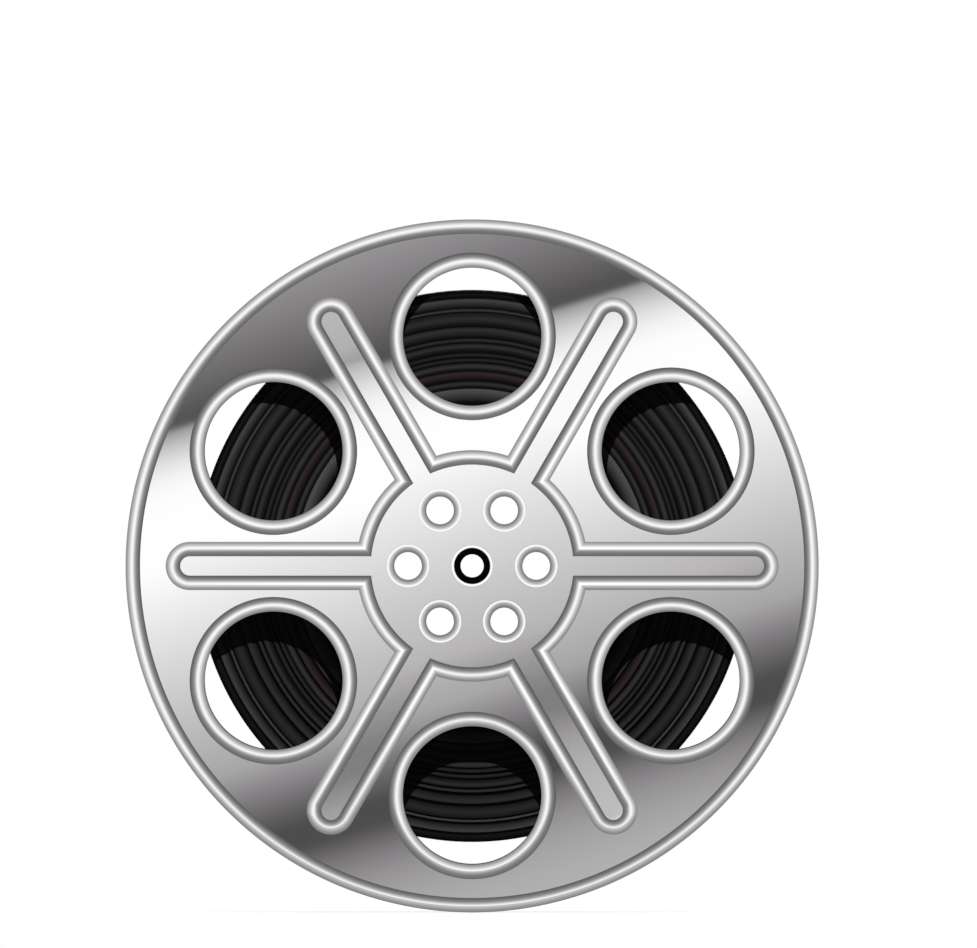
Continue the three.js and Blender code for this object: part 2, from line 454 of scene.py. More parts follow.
@dataclass(frozen=True)
class RolledSteel(Finish):
    """Plain or blued steel with a rolling grain along the spindle axis."""

    colour: Colour
    roughness: float = 0.36
    grain_across: float = 900.0
    grain_along: float = 40.0
    grain_roughness: float = 0.18
    grain_depth: float = 0.05 * MM
    grain_bump: float = 0.15
    blotch_scale: float = 60.0
    blotch_band: Band = (0.35, 0.75)
    blotch_shade: float = 0.72
    blotch_share: float = 0.5

    def shade(self, shader: Shader) -> bpy.types.Node:
        """Adds the finish's nodes.

        Args:
            shader: The tree to add them to.

        Returns:
            The finish's surface.
        """
        x, y, z = shader.split(shader.place())
        across = self.grain_across
        lines = shader.join(x * across, y * self.grain_along, z * across)
        grain = shader.noise(lines, 1.0, detail=3.0)
        blotch = shader.noise(shader.place(), self.blotch_scale, detail=3.0)
        blotch = blotch.band(*self.blotch_band)
        dark = tuple(self.blotch_shade * c for c in self.colour)
        return shader.principled(
            {
                "Base Color": shader.mix(blotch * self.blotch_share, self.colour, dark),
                "Roughness": self.roughness + self.grain_roughness * grain,
                "Metallic": 1.0,
                "Normal": shader.bump(grain, self.grain_bump, self.grain_depth),
            }
        )


@dataclass(frozen=True)
class BlackNylon(Finish):
    """Moulded black nylon with a fine matte skin and a rubbed bore."""

    name: str = "black_nylon"
    moulded: Colour = (0.0008, 0.0008, 0.0009)
    rubbed: Colour = (0.003, 0.003, 0.0032)
    rub_scale: float = 420.0
    rub_band: Band = (0.5, 0.8)
    rub_share: float = 0.5
    roughness: float = 0.55
    rub_polish: float = 0.2
    specular: float = 0.01
    skin_scale: float = 5200.0
    skin_depth: float = 0.02 * MM
    skin_bump: float = 0.2

    def shade(self, shader: Shader) -> bpy.types.Node:
        """Adds the finish's nodes.

        Args:
            shader: The tree to add them to.

        Returns:
            The finish's surface.
        """
        skin = shader.noise(shader.place(), self.skin_scale)
        rub = shader.noise(shader.place(), self.rub_scale, detail=3.0).band(*self.rub_band)
        return shader.principled(
            {
                "Base Color": shader.mix(rub * self.rub_share, self.moulded, self.rubbed),
                "Roughness": self.roughness - self.rub_polish * rub,
                "Specular IOR Level": self.specular,
                "Normal": shader.bump(skin, self.skin_bump, self.skin_depth),
            }
        )


@dataclass(frozen=True)
class WoundEdges(Finish):
    """The side of a wound roll: film edges that go from grey to black, some browner; the fade is
    painted light and shade.
    """

    name: str = "film_edge"
    # grey is the painted light of a group's crest, dark the painted shade of its sunk turns
    dark: Colour = (0.0015, 0.0015, 0.0015)
    grey: Colour = (0.07, 0.07, 0.07)
    brown: Colour = (0.068, 0.046, 0.05)
    brown_turns: tuple[Band, ...] = ((67.6 * MM, 71.2 * MM), (77.8 * MM, 79.6 * MM))
    soft: float = 0.4 * MM
    turn_scale: float = 5200.0
    turn_row: float = 7.7
    turn_light: Band = (0.8, 0.4)
    turn_roughness: float = 0.2
    turn_depth: float = 0.03 * MM
    turn_bump: float = 0.2
    roughness: float = 0.5
    specular: float = 0.03

    def shade(self, shader: Shader) -> bpy.types.Node:
        """Adds the finish's nodes.

        Args:
            shader: The tree to add them to.

        Returns:
            The finish's surface.
        """
        x, _, z = shader.split(shader.place())
        radius = shader.length(shader.join(x, 0.0, z))
        lines = shader.join(radius * self.turn_scale, self.turn_row, 0.0)
        turns = shader.noise(lines, 1.0, detail=1.0)
        least, more = self.turn_light
        brown: Value = 0.0
        for low, high in self.brown_turns:
            inside = radius.band(low - self.soft, low)
            brown = brown + inside * (1 - radius.band(high, high + self.soft))
        tone = shader.mix(brown, self.grey, self.brown)
        # the crown tone paints each group light at its crest and shaded where its turns sink
        strength = shader.attribute("crown") * (least + more * turns)
        return shader.principled(
            {
                "Base Color": shader.mix(strength, self.dark, tone),
                "Roughness": self.roughness + self.turn_roughness * turns,
                "Specular IOR Level": self.specular,
                "Normal": shader.bump(turns, self.turn_bump, self.turn_depth),
            }
        )


@dataclass(frozen=True)
class FilmBase(Finish):
    """The glossy back of developed film, nearly black, with a brown cast and faint frames."""

    name: str = "film_base"
    margin: Colour = (0.034, 0.022, 0.016)
    shadows: Colour = (0.006, 0.005, 0.005)
    lights: Colour = (0.016, 0.011, 0.009)
    frames: int = 34
    frame_start: Band = (0.06, 0.09)
    frame_end: Band = (0.93, 0.96)
    track: float = 12.2 * MM
    track_soft: float = 0.3 * MM
    cloud_scale: float = 55.0
    cloud_band: Band = (0.3, 0.75)
    scratch_across: float = 2600.0
    scratch_around: float = 6.0
    scratch_band: Band = (0.58, 0.75)
    scratch_depth: float = 0.02 * MM
    scratch_bump: float = 0.12
    scratch_roughness: float = 0.2
    roughness: float = 0.16
    specular: float = 0.4

    def shade(self, shader: Shader) -> bpy.types.Node:
        """Adds the finish's nodes.

        Args:
            shader: The tree to add them to.

        Returns:
            The finish's surface.
        """
        place = shader.place()
        x, y, z = shader.split(place)
        around = shader.math("ARCTAN2", z, x)
        step = shader.math("FRACT", around * (self.frames / TURN) + self.frames)
        within = step.band(*self.frame_start) * (1 - step.band(*self.frame_end))
        picture = within * (1 - abs(y).band(self.track - self.track_soft, self.track))
        cloud = shader.noise(place, self.cloud_scale, detail=4.0).band(*self.cloud_band)
        lines = shader.join(around * self.scratch_around, y * self.scratch_across, 0.0)
        scratch = shader.noise(lines, 1.0)
        worn = scratch.band(*self.scratch_band)
        image = shader.mix(cloud, self.shadows, self.lights)
        return shader.principled(
            {
                "Base Color": shader.mix(picture, self.margin, image),
                "Roughness": self.roughness + self.scratch_roughness * worn,
                "Specular IOR Level": self.specular,
                "Normal": shader.bump(scratch, self.scratch_bump, self.scratch_depth),
            }
        )


@dataclass(frozen=True)
class CrepeTape(Finish):
    """Cream paper tape with creping across it and a soiled edge."""

    name: str = "paper_tape"
    colour: Colour = (0.78, 0.73, 0.6)
    fold_shade: float = 0.84
    soil: Colour = (0.42, 0.36, 0.27)
    soil_scale: float = 190.0
    soil_band: Band = (0.5, 0.85)
    soil_share: float = 0.35
    crepe_around: float = 210.0
    crepe_across: float = 240.0
    crepe_band: Band = (0.3, 0.7)
    crepe_depth: float = 0.12 * MM
    crepe_bump: float = 0.6
    roughness: float = 0.82

    def shade(self, shader: Shader) -> bpy.types.Node:
        """Adds the finish's nodes.

        Args:
            shader: The tree to add them to.

        Returns:
            The finish's surface.
        """
        place = shader.place()
        x, y, z = shader.split(place)
        around = shader.math("ARCTAN2", z, x)
        folds = shader.join(around * self.crepe_around, y * self.crepe_across, 0.0)
        crepe = shader.noise(folds, 1.0, detail=3.0)
        soiled = shader.noise(place, self.soil_scale, detail=4.0).band(*self.soil_band)
        shaded = tuple(self.fold_shade * c for c in self.colour)
        tone = shader.mix(crepe.band(*self.crepe_band), shaded, self.colour)
        return shader.principled(
            {
                "Base Color": shader.mix(soiled * self.soil_share, tone, self.soil),
                "Roughness": self.roughness,
                "Normal": shader.bump(crepe, self.crepe_bump, self.crepe_depth),
            }
        )


# ---------------------------------------------------------------- drawing meshes


@dataclass
class Draft:
    """A mesh while it is drawn: corners, faces, each face's finish and each corner's tone."""

    # on the flanges this tone marks a bead's foot for dust and painted crease shade
    tone_name: str = "foot"
    corners: list[tuple[float, float, float]] = field(default_factory=list)
    faces: list[tuple[int, ...]] = field(default_factory=list)
    finishes: list[int] = field(default_factory=list)
    tones: list[float] = field(default_factory=list)

    def ring(self, loop: Loop, y: float) -> Ring:
        """Adds a loop of corners.

        Args:
            loop: The places of the corners.
            y: Their Y.

        Returns:
            The corners' numbers.
        """
        start = len(self.corners)
        self.corners.extend((x, y, z) for x, z in loop)
        return list(range(start, start + len(loop)))

    def face(self, corners: Sequence[int], tones: Sequence[float], finish: int = 0) -> None:
        """Adds one face.

        Args:
            corners: The corners' numbers.
            tones: The tone at each corner.
            finish: The number of the face's material.
        """
        self.faces.append(tuple(corners))
        self.finishes.append(finish)
        self.tones.extend(tones)

    def bridge(
        self,
        first: Sequence[int],
        second: Sequence[int],
        tones: tuple[float, float] = (0.0, 0.0),
        finish: int = 0,
        closed: bool = True,
    ) -> None:
        """Joins two rings with a strip of four-sided faces.

        Args:
            first: One ring.
            second: The other, with as many corners.
            tones: The tones along the two rings.
            finish: The number of the strip's material.
            closed: Whether the rings close on themselves.
        """
        count = len(first)
        for i in range(count if closed else count - 1):
            j = (i + 1) % count
            quad = (first[i], first[j], second[j], second[i])
            self.face(quad, (tones[0], tones[0], tones[1], tones[1]), finish)

    def fill(self, outline: Sequence[int], holes: Sequence[Sequence[int]], finish: int = 0) -> None:
        """Fills a flat outline, leaving its holes open.

        Args:
            outline: The outer ring.
            holes: The rings of the holes.
            finish: The number of the filled faces' material.
        """
        rings = [list(outline), *[list(hole) for hole in holes]]
        flat = [[Vector((self.corners[i][0], self.corners[i][2], 0)) for i in r] for r in rings]
        numbers = [i for ring in rings for i in ring]
        for triangle in tessellate_polygon(flat):
            self.face([numbers[i] for i in triangle], (0.0, 0.0, 0.0), finish)

    def build(
        self, name: str, materials: Sequence[bpy.types.Material], sharp: float = 30.0
    ) -> bpy.types.Object:
        """Turns the draft into an object.

        Args:
            name: The piece's name.
            materials: Its materials, in the order of the faces' finish numbers.
            sharp: The angle in degrees past which an edge stays sharp.

        Returns:
            The object, in the scene.
        """
        mesh = bpy.data.meshes.new(name)
        mesh.from_pydata(self.corners, [], self.faces)
        for material in materials:
            mesh.materials.append(material)
        mesh.polygons.foreach_set("material_index", self.finishes)
        tones = mesh.attributes.new(self.tone_name, "FLOAT", "CORNER")
        tones.data.foreach_set("value", self.tones)
        shape = bmesh.new()
        shape.from_mesh(mesh)
        bmesh.ops.recalc_face_normals(shape, faces=shape.faces)
        shape.to_mesh(mesh)
        shape.free()
        mesh.polygons.foreach_set("use_smooth", [True] * len(mesh.polygons))
        mesh.set_sharp_from_angle(angle=math.radians(sharp))
        piece = bpy.data.objects.new(name, mesh)
        bpy.context.scene.collection.objects.link(piece)
        return piece


def polar(radius: float, angle: float) -> Place:
    """A place by its distance from the spindle axis and its angle."""
    return radius * math.cos(angle), radius * math.sin(angle)


def circle(radius: float, steps: int, centre: Place = (0.0, 0.0)) -> Loop:
    """A round loop.

    Args:
        radius: Its radius.
        steps: How many corners it has.
        centre: Its middle.

    Returns:
        The corners' places.
    """
    places = [polar(radius, TURN * i / steps) for i in range(steps)]
    return [(centre[0] + x, centre[1] + z) for x, z in places]


def both_ends(profile: Profile) -> Profile:
    """A profile for the end at +Y, carried round to the same end at -Y."""
    return [*profile, *[(radius, -depth) for radius, depth in reversed(profile)]]


def turned(
    name: str,
    profile: Profile,
    steps: int,
    materials: Sequence[bpy.types.Material],
    centre: Place = (0.0, 0.0),
    sharp: float = 30.0,
) -> bpy.types.Object:
    """A piece turned about an axis along Y.

    Args:
        name: The piece's name.
        profile: A closed section of (radius, y) points.
        steps: How many corners go round the axis.
        materials: The piece's materials.
        centre: Where the axis is.
        sharp: The angle in degrees past which an edge stays sharp.

    Returns:
        The piece.
    """
    draft = Draft()
    rings = [draft.ring(circle(radius, steps, centre), y) for radius, y in profile]
    for i, ring in enumerate(rings):
        draft.bridge(ring, rings[(i + 1) % len(rings)])
    return draft.build(name, materials, sharp)


def rounded(corner: Place, before: Place, after: Place, radius: float, steps: int = 3) -> Profile:
    """A rounded corner of a profile.

    Args:
        corner: The sharp corner.
        before: A point that the profile comes from.
        after: A point that it goes to.
        radius: How far from the corner the rounding starts.
        steps: How many facets it has.

    Returns:
        The points that stand for the corner.
    """
    middle = Vector(corner)
    start = middle + (Vector(before) - middle).normalized() * radius
    end = middle + (Vector(after) - middle).normalized() * radius
    points = []
    for i in range(steps + 1):
        t = i / steps
        points.append(tuple((1 - t) ** 2 * start + 2 * t * (1 - t) * middle + t * t * end))
    return points


def eased(profile: Profile, radius: float) -> Profile:
    """A closed profile with every corner rounded.

    Args:
        profile: The sharp profile.
        radius: How far from each corner its rounding starts.

    Returns:
        The rounded profile.
    """
    following = [*profile[1:], profile[0]]
    points: Profile = []
    for i, (corner, after) in enumerate(zip(profile, following)):
        points += rounded(corner, profile[i - 1], after, radius)
    return points


def rides(piece: bpy.types.Object, body: Body) -> None:
    """Gives a piece its body.

    Args:
        piece: The piece.
        body: The body that it moves with.
    """
    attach(piece, body.value)
    log.info("%s rides on %s", piece.name, body.value)


def stands_for(piece: bpy.types.Object, node: str, body: Body) -> None:
    """Puts a piece in the place of a node of the construction.

    Args:
        piece: The piece.
        node: The node that it replaces.
        body: The body that it moves with.
    """
    rides(piece, body)
    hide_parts(node)
    log.info("%s stands for %s", piece.name, node)


# ---------------------------------------------------------------- flange


@dataclass(frozen=True)
class Bead:
    """The section of a raised bead: two arcs that meet in a crisp crest, on short walls."""

    width: float = 5.3 * MM
    rise: float = 2.0 * MM
    steep_width: float = 2.9 * MM
    steep: float = math.radians(42)
    easy: float = math.radians(23)
    crest: float = math.radians(5.5)
    steps: int = 12

    def flank(self, reach: float, slope: float) -> Profile:
        """One side of the arch.

        Args:
            reach: How far it goes from the crest.
            slope: How steep it is at its foot.

        Returns:
            Points of (distance from the crest, drop below it), from the crest outwards.
        """
        radius = reach / (math.sin(slope) - math.sin(self.crest))
        points = []
        for i in range(self.steps + 1):
            turn = self.crest + (slope - self.crest) * i / self.steps
            across = radius * (math.sin(turn) - math.sin(self.crest))
            points.append((across, radius * (math.cos(self.crest) - math.cos(turn))))
        return points

    def section(self) -> Profile:
        """The whole outline.

        Returns:
            Points of (distance from the steep foot, height), from the steep foot to the easy one.
        """
        left = self.flank(self.steep_width, self.steep)[::-1]
        right = self.flank(self.width - self.steep_width, self.easy)
        steep = [(self.steep_width - across, self.rise - drop) for across, drop in left]
        easy = [(self.steep_width + across, self.rise - drop) for across, drop in right[1:]]
        return [(0.0, 0.0), *steep, *easy, (self.width, 0.0)]


@dataclass
class Flange:
    """A stamped flange with its rolled rim, six rolled windows and the star bead."""

    side: Side
    sheet: float = 1.1 * MM
    arms: int = 6
    star_hub: float = 39.8 * MM
    arm_half: float = 6.2 * MM
    arm_tip_land: float = 9.4 * MM
    window_rim_land: float = 6.9 * MM
    window_arm_land: float = 2.5 * MM
    rim_crest: float = 3.0 * MM
    hole_gap: float = 0.3 * MM
    tie_wall_radius: float = 5.9 * MM
    sleeve_radius: float = 6.6 * MM
    edge_round: float = 0.5 * MM
    edge_land: float = 0.5 * MM
    edge_steps: int = 10
    hollow_steps: int = 20
    crisp: float = 10.0
    rim_steps: int = 288
    window_steps: int = 120
    hole_steps: int = 48
    tip_steps: int = 28
    hub_steps: int = 18

    def __post_init__(self) -> None:
        """Works out the sizes that follow from the frame."""
        low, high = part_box(f"{self.side.label}_flange")
        depths = sorted((abs(low.y), abs(high.y)))
        self.radius = high.x
        self.inner_face = depths[0]
        self.outer_face = depths[0] + self.sheet
        self.bead = Bead(rise=depths[1] - self.outer_face)
        self.rim_bead = Bead(rise=self.bead.rise, steep_width=self.rim_crest)
        self.rim_inner = self.radius - self.bead.width
        half = self.bead.width / 2
        self.pitch = TURN / self.arms
        self.arm_tip = self.rim_inner - self.arm_tip_land - self.arm_half - half
        reach = self.rim_inner - self.window_rim_land
        beside = self.arm_half + half + self.window_arm_land
        sine = math.sin(self.pitch / 2)
        self.window_outer = (reach * sine - beside) / (1 + sine)
        self.window_inner = self.window_outer - self.bead.width
        self.window_circle = reach - self.window_outer
        low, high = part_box("tie_tube_1")
        self.tie_circle = (low.x + high.x) / 2

    def angles(self, turn: float = 0.0) -> list[float]:
        """The arms' angles, or the windows' when turned by half a pitch."""
        return [(i + turn) * self.pitch for i in range(self.arms)]

    def star(self, offset: float) -> Loop:
        """The star's outline.

        Args:
            offset: How far outside the middle of the bead it runs.

        Returns:
            The loop, with as many corners for every offset.
        """
        hub, half = self.star_hub + offset, self.arm_half + offset
        corner = math.asin(half / hub)
        loop: Loop = []
        for angle in self.angles():
            x, z = polar(self.arm_tip, angle)
            for i in range(self.tip_steps + 1):
                dx, dz = polar(half, angle + math.pi * (i / self.tip_steps - 0.5))
                loop.append((x + dx, z + dz))
            sweep = self.pitch - 2 * corner
            steps = self.hub_steps
            loop += [polar(hub, angle + corner + sweep * i / steps) for i in range(steps + 1)]
        return loop

    def rim_loop(self, across: float) -> Loop:
        """The rim's loop at a distance outside the foot of its bead."""
        return circle(self.rim_inner + across, self.rim_steps)

    def window_loop(self, angle: float, across: float) -> Loop:
        """A window's loop at a distance inside the foot of its bead."""
        centre = polar(self.window_circle, angle)
        return circle(self.window_outer - across, self.window_steps, centre)

    def hub_holes(self) -> list[Loop]:
        """The holes that the tie tubes and the spindle sleeve go through.

        Returns:
            A loop for each hole.
        """
        radius = self.tie_wall_radius + self.hole_gap
        centres = [polar(self.tie_circle, angle) for angle in self.angles()]
        holes = [circle(radius, self.hole_steps, centre) for centre in centres]
        return [*holes, circle(self.sleeve_radius + self.hole_gap, self.hole_steps)]

    def strip(
        self, draft: Draft, loops: Sequence[tuple[Loop, float]], dust_and_crease_shade: bool = False
    ) -> tuple[Ring, Ring]:
        """A swept strip through loops.

        Args:
            draft: The mesh.
            loops: Each loop with its depth.
            dust_and_crease_shade: Whether the first and last loops are the foot of a bead, which takes
                dust and painted crease shade.

        Returns:
            The first ring and the last.
        """
        rings = [draft.ring(loop, self.side.value * depth) for loop, depth in loops]
        last = len(rings) - 2
        for i in range(len(rings) - 1):
            # tone 1 at a bead's foot paints crease shade there, with dust
            tones = (float(dust_and_crease_shade and i == 0), float(dust_and_crease_shade and i == last))
            draft.bridge(rings[i], rings[i + 1], tones)
        return rings[0], rings[-1]

    def rolled_edge(
        self, draft: Draft, bead: Bead, loop: Callable[[float], Loop]
    ) -> tuple[Ring, Ring]:
        """A bead that ends in a rolled edge and comes back to the inner face.

        Args:
            draft: The mesh.
            bead: The bead's section.
            loop: The loop at a distance from the bead's foot.

        Returns:
            The ring on the outer face and the ring on the inner face.
        """
        section = bead.section()
        loops = [(loop(across), self.outer_face + up) for across, up in section[:-1]]
        edge = bead.width
        for i in range(self.edge_steps + 1):
            turn = math.pi / 2 * i / self.edge_steps
            across = edge - self.edge_round * (1 - math.cos(turn))
            loops.append((loop(across), self.inner_face + self.edge_round * (1 - math.sin(turn))))
        loops.append((loop(edge - self.edge_round - self.edge_land), self.inner_face))
        return self.strip(draft, loops)

    def star_bead(self, draft: Draft) -> tuple[Ring, Ring]:
        """The star's raised bead on the outer face.

        Args:
            draft: The mesh.

        Returns:
            The ring inside the bead and the ring outside it.
        """
        middle = self.bead.width / 2
        section = self.bead.section()
        loops = [(self.star(across - middle), self.outer_face + up) for across, up in section]
        # only the star's bead gets dust and painted crease shade at its foot
        return self.strip(draft, loops, True)

    def star_hollow(self, draft: Draft) -> tuple[Ring, Ring]:
        """The groove that the star's bead leaves in the inner face.

        Args:
            draft: The mesh.

        Returns:
            The ring inside the groove and the ring outside it.
        """
        half = self.bead.width / 2 - self.sheet
        loops = []
        for i in range(self.hollow_steps + 1):
            turn = math.pi * i / self.hollow_steps
            depth = self.inner_face + self.bead.rise * math.sin(turn)
            loops.append((self.star(-half * math.cos(turn)), depth))
        return self.strip(draft, loops)

    def make(self, polish: bpy.types.Material, satin: bpy.types.Material) -> bpy.types.Object:
        """Builds and dresses the flange.

        Args:
            polish: The finish of the field, the beads and the inner face.
            satin: The finish of the sheet inside the star.

        Returns:
            The flange.
        """
        draft = Draft()
        rim = self.rolled_edge(draft, self.rim_bead, self.rim_loop)
        edges = [partial(self.window_loop, angle) for angle in self.angles(0.5)]
        windows = [self.rolled_edge(draft, self.bead, edge) for edge in edges]
        star_in, star_out = self.star_bead(draft)
        hollow_in, hollow_out = self.star_hollow(draft)
        depths = (self.outer_face, self.inner_face)
        holes = [self.strip(draft, [(hole, depth) for depth in depths]) for hole in self.hub_holes()]
        draft.fill(rim[0], [star_out, *[outer for outer, _ in windows]])
        draft.fill(star_in, [outer for outer, _ in holes], 1)
        draft.fill(rim[1], [hollow_out, *[inner for _, inner in windows]])
        draft.fill(hollow_in, [inner for _, inner in holes])
        name = f"{self.side.label}_stamped_flange"
        flange = draft.build(name, [polish, satin], self.crisp)
        stands_for(flange, f"{self.side.label}_flange", Body.REEL)
        return flange


# ---------------------------------------------------------------- spindle and tie tubes

LIP_STEPS = 5  # facets on each side of a lip's crest


@dataclass
class TieTube:
    """A hollow tube through the hub, flared over each flange like a trumpet."""

    number: int
    bore: float = 5.1 * MM
    wall: float = 0.8 * MM
    mouth: float = math.radians(26)
    flare_end: float = math.radians(9)
    crest: float = math.radians(3.8)
    lip_width: float = 0.5 * MM
    lip_fall: float = math.radians(9)
    crisp: float = 7.0
    throat_round: float = 0.15 * MM
    seat_height: float = 1.7 * MM
    steps: int = 72

    def profile(self, lip: float, top: float) -> Profile:
        """The tube's section.

        Args:
            lip: The lip's outer radius.
            top: The depth of the lip's crest.

        Returns:
            The closed section.
        """
        crest = lip - self.lip_width
        reach = crest - self.bore - self.throat_round
        bell = Bead(crest=self.flare_end).flank(reach, self.mouth)[::-1]
        flare = [(crest - across, top - drop) for across, drop in bell]
        throat = (self.bore, flare[0][1] - 2 * self.throat_round)
        rim = Bead(crest=self.crest, steps=LIP_STEPS).flank(self.lip_width, self.lip_fall)[1:]
        edge = [(crest + across, top - drop) for across, drop in rim]
        seat = top - self.seat_height
        outside = [(lip, seat), (self.bore + self.wall, seat)]
        return both_ends([throat, *flare, *edge, *outside])

    def make(self, bright: bpy.types.Material) -> bpy.types.Object:
        """Builds and dresses the tube.

        Args:
            bright: Its finish.

        Returns:
            The tube.
        """
        node = f"tie_tube_{self.number}"
        low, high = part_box(node)
        centre = ((low.x + high.x) / 2, (low.z + high.z) / 2)
        profile = self.profile((high.x - low.x) / 2, high.y)
        name = f"flared_tie_tube_{self.number}"
        tube = turned(name, profile, self.steps, [bright], centre, self.crisp)
        stands_for(tube, node, Body.REEL)
        return tube


@dataclass
class Spindle:
    """The sleeve through the hub, the two bushes in it and the tube between them."""

    lip_width: float = 0.88 * MM
    lip_fall: float = math.radians(11)
    crest: float = math.radians(3.8)
    crisp: float = 7.0
    pocket: float = 1.2 * MM
    sleeve_bore: float = 6.0 * MM
    sleeve_wall: float = 0.6 * MM
    seat_height: float = 1.7 * MM
    spindle_bore: float = 4.25 * MM
    bush_radius: float = 5.75 * MM
    head_height: float = 0.9 * MM
    head_spread: float = 0.14 * MM
    ease: float = 0.08 * MM
    steps: int = 72

    def sleeve(self, bright: bpy.types.Material) -> bpy.types.Object:
        """Builds the sleeve with a rounded lip at each end.

        Args:
            bright: Its finish.

        Returns:
            The sleeve.
        """
        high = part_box("spindle_sleeve")[1]
        lip, top = high.x, high.y
        mouth = lip - self.lip_width
        half = self.lip_width / 2
        flank = Bead(crest=self.crest, steps=LIP_STEPS).flank(half, self.lip_fall)
        inner = [(mouth + half - across, top - drop) for across, drop in flank[::-1]]
        outer = [(lip - half + across, top - drop) for across, drop in flank[1:]]
        crown = [*inner, *outer]
        seat = top - self.seat_height
        outside = [(lip, seat), (self.sleeve_bore + self.sleeve_wall, seat)]
        floor = top - self.pocket
        profile = both_ends([(self.sleeve_bore, floor), (mouth, floor), *crown, *outside])
        sleeve = turned("flared_spindle_sleeve", profile, self.steps, [bright], sharp=self.crisp)
        stands_for(sleeve, "spindle_sleeve", Body.REEL)
        return sleeve

    def bush(self, side: Side, nylon: bpy.types.Material) -> bpy.types.Object:
        """Builds one flanged bush.

        Args:
            side: The side that it is pushed in from.
            nylon: Its finish.

        Returns:
            The bush.
        """
        node = f"{side.label}_spindle_bush"
        low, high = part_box(node)
        near, far = sorted((abs(low.y), abs(high.y)))
        seat = far - self.head_height
        corners = [
            (self.spindle_bore, near),
            (self.bush_radius, near),
            (self.bush_radius, seat),
            (high.x + self.head_spread, seat),
            (high.x + self.head_spread, far),
            (self.spindle_bore, far),
        ]
        profile = [(radius, side.value * depth) for radius, depth in eased(corners, self.ease)]
        bush = turned(f"{side.label}_flanged_bush", profile, self.steps, [nylon])
        stands_for(bush, node, Body.BUSH)
        return bush

    def tube(self, steel: bpy.types.Material) -> bpy.types.Object:
        """Builds the tube that joins the bushes.

        Args:
            steel: Its finish.

        Returns:
            The tube.
        """
        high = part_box("bush_tube")[1]
        section = both_ends([(self.spindle_bore, high.y), (high.x, high.y)])
        tube = turned("bush_joining_tube", eased(section, self.ease), self.steps, [steel])
        stands_for(tube, "bush_tube", Body.BUSH)
        return tube

    def make(
        self, bright: bpy.types.Material, nylon: bpy.types.Material, steel: bpy.types.Material
    ) -> None:
        """Builds every piece on the spindle.

        Args:
            bright: The sleeve's finish.
            nylon: The bushes' finish.
            steel: The finish of the tube between the bushes.
        """
        self.sleeve(bright)
        for side in Side:
            self.bush(side, nylon)
        self.tube(steel)


# ---------------------------------------------------------------- film


@dataclass(frozen=True)
class TurnGroup:
    """A group of turns in the roll's side, painted light at its crest and painted shade where it sinks.

    Attributes:
        outer: The group's outer radius in millimetres.
        light: How light its outer edge is.
        crest: Where its lightest turn, the painted highlight, lies, from 0 at its outer edge to 1 at
            its inner edge.
    """

    outer: float
    light: float
    crest: float = 0.12


